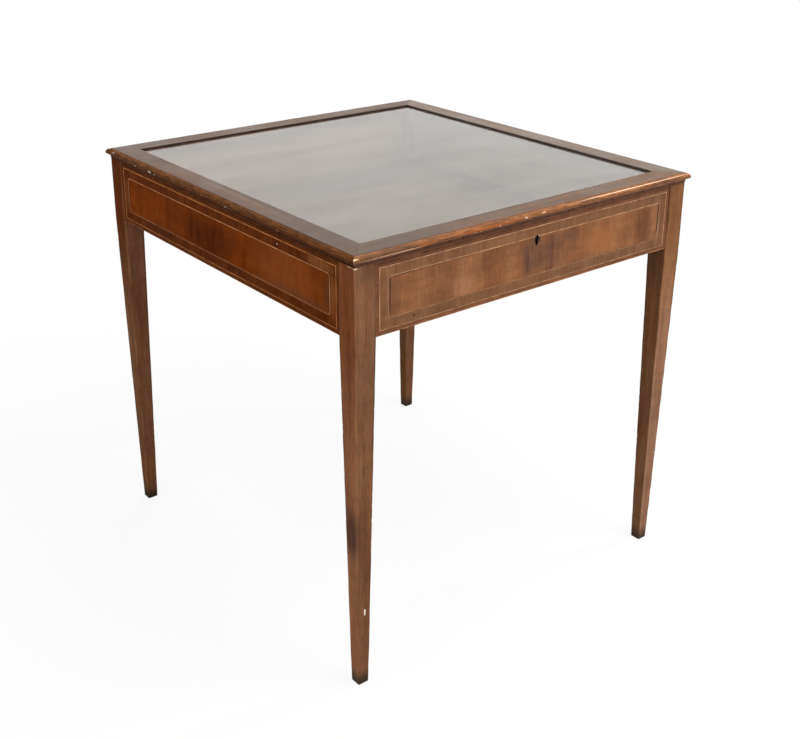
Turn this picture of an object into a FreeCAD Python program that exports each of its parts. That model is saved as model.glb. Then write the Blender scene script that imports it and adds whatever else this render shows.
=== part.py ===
import FreeCAD, Part
import math
import os

from FreeCAD import Vector

# Collectors display table: a glazed lid on a shallow case that stands on four tapered legs.
# Millimetres, +Z up, the front with the keyhole faces -Y, origin on the floor under the middle.

# ---- Overall sizes -----------------------------------------------------------------------
TABLE_WIDTH = 730.0  # X, over the outer faces of the legs
TABLE_DEPTH = 775.0  # Y, over the outer faces of the legs
TABLE_HEIGHT = 750.0

# ---- Legs --------------------------------------------------------------------------------
LEG_TOP = 39.0  # square block beside the aprons
LEG_FOOT = 20.0  # square foot, tapered alike on all four faces
LEG_ARRIS = 0.9  # softened corner of the leg

# ---- Aprons and their joints -------------------------------------------------------------
APRON_HEIGHT = 117.0
APRON_CORE = 19.0  # solid wood behind the veneer
VENEER = 1.0
APRON_SETBACK = 1.5  # show face behind the outer face of the leg
TENON_THICKNESS = 7.0
TENON_LENGTH = 21.0
TENON_SHOULDER = 16.0  # bare core above and below the tenon
MORTISE_CLEARANCE = 0.1  # each side of a tenon
MORTISE_END = 1.0  # room past a tenon's end

# ---- Inlay on each apron, from the edge inwards --------------------------------------------
BORDER_SIDE = 7.2  # border veneer at the ends and along the bottom
BORDER_TOP = 10.0
STRINGING = 1.5
CROSSBAND = 15.0
CORNER_RADIUS = 4.0  # of the field, inside the inner stringing

# ---- Bottom of the case --------------------------------------------------------------------
BOARD_THICKNESS = 7.0
BOARD_COUNT = 3
BOARD_RECESS = 0.6  # boards stay this far above the lower edge of the aprons
BOARD_CLEARANCE = 0.4  # round the boards and at the legs
BOARD_REBATE = 9.0  # ledge in the aprons that carries the boards
TONGUE_THICKNESS = 2.4
TONGUE_LENGTH = 4.0
TONGUE_CLEARANCE = 0.15

# ---- Lid frame and its moulding --------------------------------------------------------------
LID_THICKNESS = 17.5
LID_GAP = 0.4  # between the case and the lid when it is shut
RAIL_FACE = 40.8  # from the leg's outer face to the glass opening
MOULD_REACH = 7.0  # overhang of the nose past the leg
MOULD_STEP = 0.8  # quirk between the flat top and the nose
MOULD_INSET = 1.0  # flat top ends this far inside the leg's outer face
NOSE_DROP = 7.2  # height of the nose's round
NOSE_FLAT = 0.8  # upright below it
NOSE_HEEL = 1.6  # round back under the nose
MOULD_FILLET = 0.6
COVE_HEIGHT = 4.4
COVE_STOP = 0.4  # the cove ends this far outside the leg's face
SIGHT_EDGE = 0.5  # chamfer round the glass opening
GLASS_THICKNESS = 4.0
GLASS_LIP = 3.5  # wood above the glass
GLASS_REBATE = 8.0  # width of the seat under the lip
GLASS_CLEARANCE = 1.0
BEAD_ROUND = 3.0
BEAD_CLEARANCE = 0.1
SPLINE_THICKNESS = 2.4
SPLINE_LENGTH = 24.0  # along the mitre
SPLINE_WIDTH = 16.0  # across the mitre
SPLINE_START = 5.0  # from the outer corner of the frame, along each rail
SPLINE_CLEARANCE = 0.1

# ---- Stop hinges -------------------------------------------------------------------------------
HINGE_INSET = 73.5  # from the leg to the near end of the hinge
HINGE_LENGTH = 65.0
HINGE_KNUCKLES = 5
KNUCKLE_GAP = 0.3
LEAF_WIDTH = 17.0  # let into the apron and the lid
LEAF_THICKNESS = 2.0
LEAF_CLEARANCE = 0.2  # round a leaf in its recess
BARREL_RADIUS = 2.8
BARREL_CLEARANCE = 0.3
HINGE_PIN_RADIUS = 1.3
PIN_CLEARANCE = 0.05
FLANGE_THICKNESS = 1.2  # turned down over the show face of the rear apron
FLANGE_HEIGHT = 12.0
LUG_REACH = 3.9  # from the pin's axis to the tip of the stop lug
LUG_THICKNESS = 1.4
OPEN_STOP = 102.0  # degrees at which the lugs meet the flange

# ---- Box lock -------------------------------------------------------------------------------------
LOCK_PLATE_WIDTH = 88.0
LOCK_PLATE_HEIGHT = 52.0
LOCK_PLATE_THICKNESS = 1.5
SELVEDGE_THICKNESS = 2.0
LOCK_BOX_WIDTH = 70.0
LOCK_BOX_HEIGHT = 48.0
LOCK_BOX_WALL = 1.2
LOCK_BOX_DEPTH = 9.0  # clear inside
LOCK_CLEARANCE = 0.3  # round the lock in its mortise
KEY_DROP = 30.0  # keyhole centre below the top of the case
KEYHOLE_RADIUS = 3.5
KEYHOLE_SLOT = 3.6  # width of the slot for the bit
KEYHOLE_REACH = 12.0  # from the centre to the foot of the slot
KEY_PIN_RADIUS = 1.5
KEY_PIN_STOP = 3.0  # the pin ends this far behind the show face
LINER_WALL = 0.9
LINER_DEPTH = 4.0
LINER_CLEARANCE = 0.05
BOLT_TRAVEL = 6.0
BOLT_THICKNESS = 3.0
BOLT_LENGTH = 42.0
BOLT_HEIGHT = 10.0
BOLT_TOP = 11.0  # below the top of the case
BOLT_START = -25.0  # left end of the drawn bolt
HOOK_STEM = 4.0
HOOK_FINGER = 5.5
HOOK_HEIGHT = 3.5
HOOK_TOP = 4.0  # below the top of the case
HOOK_STARTS = (-22.0, 12.0)
TALON_WIDTH = 8.0
TALON_HEIGHT = 3.5
STUD_RADIUS = 1.5
STUD_CLEARANCE = 0.1
STUD_PLACES = (-14.0, 10.0)
SPRING_THICKNESS = 0.6
SPRING_LENGTH = 15.0
SPRING_START = -6.0
SPRING_FOOT = 3.0
SPRING_CLEARANCE = 0.3  # under the selvedge
STAPLE_THICKNESS = 2.5
STAPLE_GAP = 1.0  # from a drawn finger to its staple
STAPLE_EYE = 0.6  # clearance round a finger in its eye
STAPLE_WALL = 1.5
STAPLE_CLEARANCE = 0.6  # round a staple in the selvedge
LINK_WIDTH = 84.0
LINK_DEPTH = 15.0
LINK_THICKNESS = 2.0

# ---- Construction ------------------------------------------------------------------------------------
CUT_PAST = 1.0  # how far a cut runs on past the face that it opens

# ---- Derived places -----------------------------------------------------------------------------------
LID_BOTTOM = TABLE_HEIGHT - LID_THICKNESS
CASE_TOP = LID_BOTTOM - LID_GAP
APRON_BOTTOM = CASE_TOP - APRON_HEIGHT
APRON_THICKNESS = VENEER + APRON_CORE
HALF_WIDTH = TABLE_WIDTH / 2
HALF_DEPTH = TABLE_DEPTH / 2
INNER_FACE = APRON_SETBACK + APRON_THICKNESS  # of an apron, from the leg's outer face
BOARD_BOTTOM = APRON_BOTTOM + BOARD_RECESS
BOARD_TOP = BOARD_BOTTOM + BOARD_THICKNESS
GLASS_TOP = TABLE_HEIGHT - GLASS_LIP
GLASS_BOTTOM = GLASS_TOP - GLASS_THICKNESS
REBATE_WALL = RAIL_FACE - GLASS_REBATE  # from the leg's outer face

# Each side: turn about Z, half the clear length between its legs, half the table across it.
SIDES = {
    "front": (0, HALF_WIDTH - LEG_TOP, HALF_DEPTH),
    "right": (90, HALF_DEPTH - LEG_TOP, HALF_WIDTH),
    "rear": (180, HALF_WIDTH - LEG_TOP, HALF_DEPTH),
    "left": (270, HALF_DEPTH - LEG_TOP, HALF_WIDTH),
}

os.makedirs("parts", exist_ok=True)


def export(name, shape):
    """Writes one sub-part. A list of solids stays a group of separate solids."""
    if isinstance(shape, list):
        shape = Part.makeCompound(shape)
    shape.exportStep(f"parts/{name}.step")


def box(x0, x1, y0, y1, z0, z1):
    """An upright box between two opposite corners."""
    return Part.makeBox(x1 - x0, y1 - y0, z1 - z0, Vector(x0, y0, z0))


def rod(radius, start, end):
    """A round bar from one point to another."""
    along = end - start
    return Part.makeCylinder(radius, along.Length, start, along)


def prism(corners, along):
    """A polygon pushed along a vector."""
    return Part.Face(Part.makePolygon(corners + corners[:1])).extrude(along)


def quarter(start, corner, end):
    """A quarter round that leaves start towards corner and arrives at end: circle or ellipse."""
    centre = start + end - corner
    far, near = sorted((start, end), key=lambda point: -(point - centre).Length)
    radius = (near - centre).Length
    if (far - centre).Length - radius < 1e-6:
        middle = centre + (corner - centre).normalize() * radius
        return Part.Arc(start, middle, end).toShape()
    return Part.Arc(Part.Ellipse(far, near, centre), 0, math.pi / 2).toShape()


def path_face(steps):
    """A face from a closed path. Each step is a point, or a corner and a point for a round."""
    edges = []
    here = first = steps[0]
    for step in steps[1:] + [first]:
        if isinstance(step, tuple):
            corner, end = step
            edges.append(quarter(here, corner, end))
        else:
            end = step
            edges.append(Part.makeLine(here, end))
        here = end
    return Part.Face(Part.Wire(edges))


def to_side(shape, side, setback=0.0):
    """Places a shape drawn for the front, with y = 0 on the leg's face and +Y inwards."""
    turn, _, reach = SIDES[side]
    placed = shape.copy()
    placed.translate(Vector(0, setback - reach, 0))
    placed.rotate(Vector(0, 0, 0), Vector(0, 0, 1), turn)
    return placed


# ---- Legs ---------------------------------------------------------------------------------------------
def rounded_square(size, centre):
    """A level square outline with softened corners."""
    half = size / 2
    flat = half - LEG_ARRIS
    slant = LEG_ARRIS * (1 - math.sqrt(0.5))
    edges = []
    for turn in range(4):
        way = Vector(math.cos(turn * math.pi / 2), math.sin(turn * math.pi / 2), 0)
        left = Vector(-way.y, way.x, 0)
        start = centre + way * half - left * flat
        end = centre + way * half + left * flat
        bend = centre + (way + left) * (half - slant)
        after = centre + left * half + way * flat
        edges += [Part.makeLine(start, end), Part.Arc(end, bend, after).toShape()]
    return Part.Wire(edges)


def tenon_boxes(side, grow=0.0, past=0.0):
    """The two tenons of an apron, or with grow and past the mortises that take them."""
    _, half, _ = SIDES[side]
    y0 = VENEER + (APRON_CORE - TENON_THICKNESS) / 2 - grow
    y1 = y0 + TENON_THICKNESS + 2 * grow
    z0 = APRON_BOTTOM + TENON_SHOULDER - grow
    z1 = CASE_TOP - TENON_SHOULDER + grow
    reach = half + TENON_LENGTH + past
    return [
        to_side(box(-reach, -half, y0, y1, z0, z1), side, APRON_SETBACK),
        to_side(box(half, reach, y0, y1, z0, z1), side, APRON_SETBACK),
    ]


def make_leg(x_way, y_way):
    """One leg: a mortised block above a long taper."""
    x = x_way * (HALF_WIDTH - LEG_TOP / 2)
    y = y_way * (HALF_DEPTH - LEG_TOP / 2)
    levels = ((LEG_FOOT, 0.0), (LEG_TOP, APRON_BOTTOM), (LEG_TOP, CASE_TOP))
    rings = [rounded_square(size, Vector(x, y, z)) for size, z in levels]
    leg = Part.makeLoft(rings, True, True)
    mortises = []
    for side in SIDES:
        mortises += tenon_boxes(side, MORTISE_CLEARANCE, MORTISE_END)
    near = [m for m in mortises if m.CenterOfMass.x * x > 0 and m.CenterOfMass.y * y > 0]
    return leg.cut([m for m in near if m.distToShape(leg)[0] < MORTISE_CLEARANCE])


for x_name, x_way in (("left", -1), ("right", 1)):
    for y_name, y_way in (("front", -1), ("rear", 1)):
        export(f"leg_{y_name}_{x_name}", make_leg(x_way, y_way))


# ---- Hinge sizes that the rear apron and the lid also need ----------------------------------------------
HINGE_MIDDLE = HALF_WIDTH - LEG_TOP - HINGE_INSET - HINGE_LENGTH / 2
HINGE_PLACES = (-HINGE_MIDDLE, HINGE_MIDDLE)
SHOW_REAR = HALF_DEPTH - APRON_SETBACK
PIN_Y = SHOW_REAR + FLANGE_THICKNESS + BARREL_CLEARANCE + BARREL_RADIUS
PIN_Z = CASE_TOP + LID_GAP / 2
LEAF_EDGE = SHOW_REAR + FLANGE_THICKNESS
LEAF_FRONT = SHOW_REAR - LEAF_WIDTH


def leaf_recess(place, z0, z1):
    """The shallow cut that takes a hinge leaf."""
    half = HINGE_LENGTH / 2 + LEAF_CLEARANCE
    y0 = LEAF_FRONT - LEAF_CLEARANCE
    return box(place - half, place + half, y0, LEAF_EDGE + CUT_PAST, z0, z1)


# ---- Lock sizes that the front apron also needs ------------------------------------------------------------
LOCK_FACE = -HALF_DEPTH + INNER_FACE  # inner face of the front apron
LOCK_BACK = LOCK_FACE - LOCK_PLATE_THICKNESS  # the plate is let in flush
LOCK_FRONT = LOCK_BACK - LOCK_BOX_DEPTH - LOCK_BOX_WALL
LOCK_LEVEL = LOCK_BACK - LOCK_BOX_DEPTH / 2  # middle of bolt and staples
LOCK_FOOT = CASE_TOP - LOCK_BOX_HEIGHT
KEY_Z = CASE_TOP - KEY_DROP
SHOW_FRONT = -HALF_DEPTH + APRON_SETBACK


def keyhole(grow, y0, y1):
    """A keyhole as a solid from y0 to y1: a round above a slot with a round foot."""
    start = Vector(0, y0, KEY_Z)
    along = Vector(0, y1 - y0, 0)
    half = KEYHOLE_SLOT / 2 + grow
    foot = KEY_Z - KEYHOLE_REACH + KEYHOLE_SLOT / 2
    low = Vector(0, y0, foot)
    shapes = [
        rod(KEYHOLE_RADIUS + grow, start, start + along),
        box(-half, half, y0, y1, foot, KEY_Z),
        rod(half, low, low + along),
    ]
    return shapes[0].fuse(shapes[1:]).removeSplitter()


def lock_mortise():
    """The room in the front apron for the lock, open at the top and to the inside."""
    gap = LOCK_CLEARANCE
    half_plate = LOCK_PLATE_WIDTH / 2 + gap
    half_box = LOCK_BOX_WIDTH / 2 + gap
    top = CASE_TOP + CUT_PAST
    inside = LOCK_FACE + CUT_PAST
    selvedge = CASE_TOP - SELVEDGE_THICKNESS
    return [
        box(-half_plate, half_plate, LOCK_BACK, inside, CASE_TOP - LOCK_PLATE_HEIGHT - gap, top),
        box(-half_plate, half_plate, LOCK_FRONT - gap, inside, selvedge, top),
        box(-half_box, half_box, LOCK_FRONT - gap, inside, LOCK_FOOT - gap, top),
    ]


# ---- Aprons with their inlay ----------------------------------------------------------------------------------
def inset(rect, side, top):
    """A rectangle (x0, x1, z0, z1) made smaller by side at the ends and foot, and by top above."""
    x0, x1, z0, z1 = rect
    return (x0 + side, x1 - side, z0 + side, z1 - top)


def panel(rect, radius):
    """A veneer panel over a rectangle, with rounded corners."""
    x0, x1, z0, z1 = rect
    sheet = box(x0, x1, 0, VENEER, z0, z1)
    return sheet.makeFillet(radius, [e for e in sheet.Edges if abs(e.Length - VENEER) < 1e-6])


def mitred_strips(outer, inner):
    """Four veneer strips that fill the border between two rectangles, mitred at the corners."""
    turns = []
    for x0, x1, z0, z1 in (outer, inner):
        turns.append([Vector(x, 0, z) for x, z in ((x0, z0), (x1, z0), (x1, z1), (x0, z1))])
    strips = []
    for k in range(4):
        after = (k + 1) % 4
        corners = [turns[0][k], turns[0][after], turns[1][after], turns[1][k]]
        strips.append(prism(corners, Vector(0, VENEER, 0)))
    return strips


def make_apron(side, veneer_cuts, core_cuts):
    """The core of one apron with its tenons, and the five layers of veneer on its face."""
    _, half, _ = SIDES[side]
    core = box(-half, half, VENEER, APRON_THICKNESS, APRON_BOTTOM, CASE_TOP)
    ledge = box(
        -half, half, APRON_THICKNESS - BOARD_REBATE, APRON_THICKNESS, APRON_BOTTOM, BOARD_TOP
    )
    core = to_side(core.cut(ledge), side, APRON_SETBACK)
    core = core.fuse(tenon_boxes(side)).removeSplitter()
    if core_cuts:
        core = core.cut(core_cuts)
    export(f"{side}_apron_core", core)

    edge = (-half, half, APRON_BOTTOM, CASE_TOP)
    border = inset(edge, BORDER_SIDE, BORDER_TOP)
    outer_line = inset(border, STRINGING, STRINGING)
    band = inset(outer_line, CROSSBAND, CROSSBAND)
    field = panel(inset(band, STRINGING, STRINGING), CORNER_RADIUS)
    ring_radius = CORNER_RADIUS + STRINGING
    ring = panel(band, ring_radius)
    past_corner = inset(band, ring_radius, ring_radius)
    layers = {
        "border_veneer": mitred_strips(edge, border),
        "outer_stringing": mitred_strips(border, outer_line),
        "crossbanding": [s.cut(ring) for s in mitred_strips(outer_line, past_corner)],
        "inner_stringing": [ring.cut(field)],
        "field_veneer": [field],
    }
    for name, strips in layers.items():
        placed = [to_side(strip, side, APRON_SETBACK) for strip in strips]
        cut = []
        for strip in placed:
            hits = [c for c in veneer_cuts if c.distToShape(strip)[0] == 0]
            cut += strip.cut(hits).Solids if hits else [strip]
        export(f"{side}_{name}", cut)


front_veneer_cuts = [
    keyhole(LINER_WALL + LINER_CLEARANCE, SHOW_FRONT - CUT_PAST, SHOW_FRONT + LINER_DEPTH)
]
front_core_cuts = lock_mortise() + front_veneer_cuts + [keyhole(0, SHOW_FRONT, LOCK_FRONT)]
rear_cuts = [
    leaf_recess(place, CASE_TOP - LEAF_THICKNESS, CASE_TOP + CUT_PAST) for place in HINGE_PLACES
]
make_apron("front", front_veneer_cuts, front_core_cuts)
make_apron("right", [], [])
make_apron("rear", rear_cuts, rear_cuts)
make_apron("left", [], [])


# ---- Bottom boards ------------------------------------------------------------------------------------------------
def board_edges():
    """The front and rear edge of each bottom board, with equal boards edge to edge."""
    half = HALF_DEPTH - INNER_FACE + BOARD_REBATE - BOARD_CLEARANCE
    width = 2 * half / BOARD_COUNT
    return [(k * width - half, (k + 1) * width - half) for k in range(BOARD_COUNT)]


def make_boards():
    """Tongued boards that run from left to right, notched round the legs."""
    x_half = HALF_WIDTH - INNER_FACE + BOARD_REBATE - BOARD_CLEARANCE
    middle = (BOARD_BOTTOM + BOARD_TOP) / 2
    tongue = TONGUE_THICKNESS / 2
    groove = tongue + TONGUE_CLEARANCE
    x_post = HALF_WIDTH - LEG_TOP - BOARD_CLEARANCE
    y_post = HALF_DEPTH - LEG_TOP - BOARD_CLEARANCE
    across = box(-x_post, x_post, -HALF_DEPTH, HALF_DEPTH, BOARD_BOTTOM, BOARD_TOP)
    along = box(-HALF_WIDTH, HALF_WIDTH, -y_post, y_post, BOARD_BOTTOM, BOARD_TOP)
    between_legs = across.fuse(along)
    boards = []
    for k, (y0, y1) in enumerate(board_edges()):
        board = box(-x_half, x_half, y0, y1, BOARD_BOTTOM, BOARD_TOP)
        if k > 0:
            edge = (y0 - TONGUE_LENGTH, y0)
            board = board.fuse(box(-x_half, x_half, *edge, middle - tongue, middle + tongue))
        if k < BOARD_COUNT - 1:
            room = (y1 - TONGUE_LENGTH - TONGUE_CLEARANCE, y1)
            board = board.cut(box(-x_half, x_half, *room, middle - groove, middle + groove))
        boards.append(board.removeSplitter().common(between_legs))
    return boards


for number, board in enumerate(make_boards(), 1):
    export(f"bottom_board_{number}", board)


# ---- Lid frame ----------------------------------------------------------------------------------------------------------
def yz(y, down):
    """A point of the rail's section: y inwards from the leg's face, down from the table's top."""
    return Vector(0, y, TABLE_HEIGHT - down)


def rail_section():
    """The moulded section of a lid rail, with the seat for the glass on its inner side."""
    start = MOULD_INSET - MOULD_STEP
    reach = -MOULD_REACH
    flat = MOULD_STEP + NOSE_DROP
    heel = flat + NOSE_FLAT
    under = heel + NOSE_HEEL
    heel_in = reach + NOSE_HEEL
    cove_out = heel_in + MOULD_FILLET
    cove_top = under + MOULD_FILLET
    cove_in = -COVE_STOP
    cove_foot = cove_top + COVE_HEIGHT
    steps = [
        yz(MOULD_INSET, 0),
        yz(MOULD_INSET, MOULD_STEP),
        yz(start, MOULD_STEP),
        (yz(reach, MOULD_STEP), yz(reach, flat)),
        yz(reach, heel),
        (yz(reach, under), yz(heel_in, under)),
        yz(cove_out, under),
        yz(cove_out, cove_top),
        (yz(cove_in, cove_top), yz(cove_in, cove_foot)),
        yz(cove_in, LID_THICKNESS),
        yz(REBATE_WALL, LID_THICKNESS),
        yz(REBATE_WALL, GLASS_LIP),
        yz(RAIL_FACE, GLASS_LIP),
        yz(RAIL_FACE, SIGHT_EDGE),
        yz(RAIL_FACE - SIGHT_EDGE, 0),
    ]
    return path_face(steps)


def bead_section():
    """The section of a glazing bead: it fills the seat under the glass, with a rounded corner."""
    top = GLASS_LIP + GLASS_THICKNESS
    steps = [
        yz(REBATE_WALL + BEAD_CLEARANCE, top),
        yz(RAIL_FACE, top),
        yz(RAIL_FACE, LID_THICKNESS - BEAD_ROUND),
        (yz(RAIL_FACE, LID_THICKNESS), yz(RAIL_FACE - BEAD_ROUND, LID_THICKNESS)),
        yz(REBATE_WALL + BEAD_CLEARANCE, LID_THICKNESS),
    ]
    return path_face(steps)


def mitred_bar(section, side):
    """A section carried along one side of the table and cut at 45 degrees at both ends."""
    across = SIDES["right" if side in ("front", "rear") else "front"][2]
    half = across + MOULD_REACH
    bar = section.copy()
    bar.translate(Vector(-half, 0, 0))
    bar = bar.extrude(Vector(2 * half, 0, 0))
    near = -MOULD_REACH
    far = RAIL_FACE + CUT_PAST
    run = far - near
    plan = ((-half, near), (half, near), (half - run, far), (-half + run, far))
    corners = [Vector(x, y, LID_BOTTOM - CUT_PAST) for x, y in plan]
    return to_side(bar.common(prism(corners, Vector(0, 0, LID_THICKNESS + 2 * CUT_PAST))), side)


def mitre_spline(x_way, y_way, grow=0.0):
    """The loose tongue across one mitre, or with grow the slot that takes it."""
    corner = Vector(x_way * (HALF_WIDTH + MOULD_REACH), y_way * (HALF_DEPTH + MOULD_REACH), 0)
    inward = Vector(-x_way, -y_way, 0).normalize()
    across = Vector(-inward.y, inward.x, 0)
    start = SPLINE_START * math.sqrt(2) + SPLINE_WIDTH / 2 - grow
    end = start + SPLINE_LENGTH + 2 * grow
    half = SPLINE_WIDTH / 2 + grow
    z = (LID_BOTTOM + TABLE_HEIGHT) / 2 - SPLINE_THICKNESS / 2 - grow
    lift = Vector(0, 0, z)
    ends = [(start, -half), (end, -half), (end, half), (start, half)]
    corners = [corner + inward * a + across * b + lift for a, b in ends]
    return prism(corners, Vector(0, 0, SPLINE_THICKNESS + 2 * grow))


LINK_TOP = LID_BOTTOM + LINK_THICKNESS


def lid_cuts(side):
    """Every cut in one rail of the lid for the things let into it."""
    cuts = [mitre_spline(x, y, SPLINE_CLEARANCE) for x in (-1, 1) for y in (-1, 1)]
    if side == "rear":
        groove_half = HINGE_LENGTH / 2 + LEAF_CLEARANCE
        for place in HINGE_PLACES:
            cuts.append(leaf_recess(place, LID_BOTTOM - CUT_PAST, LID_BOTTOM + LEAF_THICKNESS))
            ends = [Vector(place + way * groove_half, PIN_Y, PIN_Z) for way in (-1, 1)]
            cuts.append(rod(BARREL_RADIUS + 2 * BARREL_CLEARANCE, *ends))
    if side == "front":
        half = LINK_WIDTH / 2 + LEAF_CLEARANCE
        depth = LINK_DEPTH / 2 + LEAF_CLEARANCE
        plan = (-half, half, LOCK_LEVEL - depth, LOCK_LEVEL + depth)
        cuts.append(box(*plan, LID_BOTTOM - CUT_PAST, LINK_TOP))
    return cuts


for side in SIDES:
    export(f"lid_{side}_rail", mitred_bar(rail_section(), side).cut(lid_cuts(side)))
    export(f"glazing_bead_{side}", mitred_bar(bead_section(), side))
export("mitre_splines", [mitre_spline(x, y) for x in (-1, 1) for y in (-1, 1)])

glass_x = HALF_WIDTH - REBATE_WALL - GLASS_CLEARANCE
glass_y = HALF_DEPTH - REBATE_WALL - GLASS_CLEARANCE
export("glass_pane", box(-glass_x, glass_x, -glass_y, glass_y, GLASS_BOTTOM, GLASS_TOP))


# ---- Stop hinges -----------------------------------------------------------------------------------------------------------
def knuckles(place, own):
    """Those barrel segments of one hinge whose number, odd or even, belongs to a leaf."""
    pitch = HINGE_LENGTH / HINGE_KNUCKLES
    spans = []
    for k in range(HINGE_KNUCKLES):
        if k % 2 == own:
            start = place - HINGE_LENGTH / 2 + k * pitch
            first = KNUCKLE_GAP / 2 if k > 0 else 0
            last = KNUCKLE_GAP / 2 if k < HINGE_KNUCKLES - 1 else 0
            spans.append((start + first, start + pitch - last))
    return spans


def barrel(x0, x1):
    """One barrel segment."""
    return rod(BARREL_RADIUS, Vector(x0, PIN_Y, PIN_Z), Vector(x1, PIN_Y, PIN_Z))


def pin_bore(place):
    """The hole through a whole barrel, with the pin's running clearance."""
    half = HINGE_LENGTH / 2 + CUT_PAST
    ends = [Vector(place + way * half, PIN_Y, PIN_Z) for way in (-1, 1)]
    return rod(HINGE_PIN_RADIUS + PIN_CLEARANCE, *ends)


def stop_lug(x0, x1):
    """A lug on the barrel that turns down onto the flange when the lid is fully open."""
    gap = PIN_Y - LEAF_EDGE
    landing = math.degrees(math.acos(-gap / LUG_REACH))
    lug = box(x0, x1, 0, LUG_REACH, 0, LUG_THICKNESS)
    lug.rotate(Vector(0, 0, 0), Vector(1, 0, 0), OPEN_STOP - landing)
    lug.translate(Vector(0, PIN_Y, PIN_Z))
    return lug


def case_leaf(place):
    """The lower leaf: a plate on the apron, its flange down the back and its barrel segments."""
    half = HINGE_LENGTH / 2
    top = CASE_TOP
    low = CASE_TOP - LEAF_THICKNESS
    plate = box(place - half, place + half, LEAF_FRONT, LEAF_EDGE, low, top)
    flange = box(place - half, place + half, SHOW_REAR, LEAF_EDGE, top - FLANGE_HEIGHT, top)
    pieces = [flange]
    for x0, x1 in knuckles(place, 0):
        pieces += [barrel(x0, x1), box(x0, x1, LEAF_FRONT, PIN_Y, low, top)]
    return plate.fuse(pieces).cut(pin_bore(place))


def lid_leaf(place):
    """The upper leaf: a plate under the lid, with its barrel segments and their stop lugs."""
    half = HINGE_LENGTH / 2
    top = LID_BOTTOM + LEAF_THICKNESS
    plate = box(place - half, place + half, LEAF_FRONT, LEAF_EDGE, LID_BOTTOM, top)
    pieces = []
    for x0, x1 in knuckles(place, 1):
        pieces += [barrel(x0, x1), box(x0, x1, LEAF_FRONT, PIN_Y, LID_BOTTOM, top)]
        pieces.append(stop_lug(x0, x1))
    return plate.fuse(pieces).cut(pin_bore(place))


def hinge_pin(place):
    """The loose pin, as long as the barrel."""
    half = HINGE_LENGTH / 2
    ends = [Vector(place + way * half, PIN_Y, PIN_Z) for way in (-1, 1)]
    return rod(HINGE_PIN_RADIUS, *ends)


for name, place in zip(("right", "left"), reversed(HINGE_PLACES)):
    export(f"hinge_{name}_case_leaf", case_leaf(place))
    export(f"hinge_{name}_lid_leaf", lid_leaf(place))
    export(f"hinge_{name}_pin", hinge_pin(place))

# ---- Box lock -----------------------------------------------------------------------------------------------------------------
BOLT_BACK = LOCK_LEVEL + BOLT_THICKNESS / 2
BOLT_FRONT = LOCK_LEVEL - BOLT_THICKNESS / 2
STUD_Z = CASE_TOP - BOLT_TOP - BOLT_HEIGHT / 2
FINGER_TIPS = [start + HOOK_STEM + HOOK_FINGER for start in HOOK_STARTS]
STAPLE_STARTS = [tip + STAPLE_GAP for tip in FINGER_TIPS]
STAPLE_HALF = BOLT_THICKNESS / 2 + STAPLE_EYE + STAPLE_WALL
FINGER_FOOT = CASE_TOP - HOOK_TOP - HOOK_HEIGHT


def make_lock_plate():
    """The back plate and the selvedge in one, with slots for the staples and the bolt's studs."""
    half = LOCK_PLATE_WIDTH / 2
    foot = CASE_TOP - LOCK_PLATE_HEIGHT
    plate = box(-half, half, LOCK_BACK, LOCK_FACE, foot, CASE_TOP)
    selvedge = box(-half, half, LOCK_FRONT, LOCK_FACE, CASE_TOP - SELVEDGE_THICKNESS, CASE_TOP)
    studs = [
        rod(STUD_RADIUS, Vector(x, LOCK_BACK, STUD_Z), Vector(x, LOCK_FRONT + LOCK_BOX_WALL, STUD_Z))
        for x in STUD_PLACES
    ]
    plate = plate.fuse([selvedge] + studs)
    slots = []
    for start in STAPLE_STARTS:
        x0 = start - STAPLE_CLEARANCE
        x1 = start + STAPLE_THICKNESS + STAPLE_CLEARANCE
        y = STAPLE_HALF + STAPLE_CLEARANCE
        z = (CASE_TOP - SELVEDGE_THICKNESS - CUT_PAST, CASE_TOP + CUT_PAST)
        slots.append(box(x0, x1, LOCK_LEVEL - y, LOCK_LEVEL + y, *z))
    key_pin_hole = rod(
        KEY_PIN_RADIUS, Vector(0, LOCK_BACK, KEY_Z), Vector(0, LOCK_FACE, KEY_Z)
    )
    return plate.cut(slots + [key_pin_hole])


def make_lock_box():
    """The pan that covers the bolt, open to the plate and under the selvedge."""
    half = LOCK_BOX_WIDTH / 2
    wall = LOCK_BOX_WALL
    top = CASE_TOP - SELVEDGE_THICKNESS
    pan = box(-half, half, LOCK_FRONT, LOCK_BACK, LOCK_FOOT, top)
    y = (LOCK_FRONT + wall, LOCK_BACK + CUT_PAST)
    room = box(wall - half, half - wall, *y, LOCK_FOOT + wall, top + CUT_PAST)
    return pan.cut([room, keyhole(0, LOCK_FRONT - CUT_PAST, LOCK_FRONT + wall + CUT_PAST)])


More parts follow.
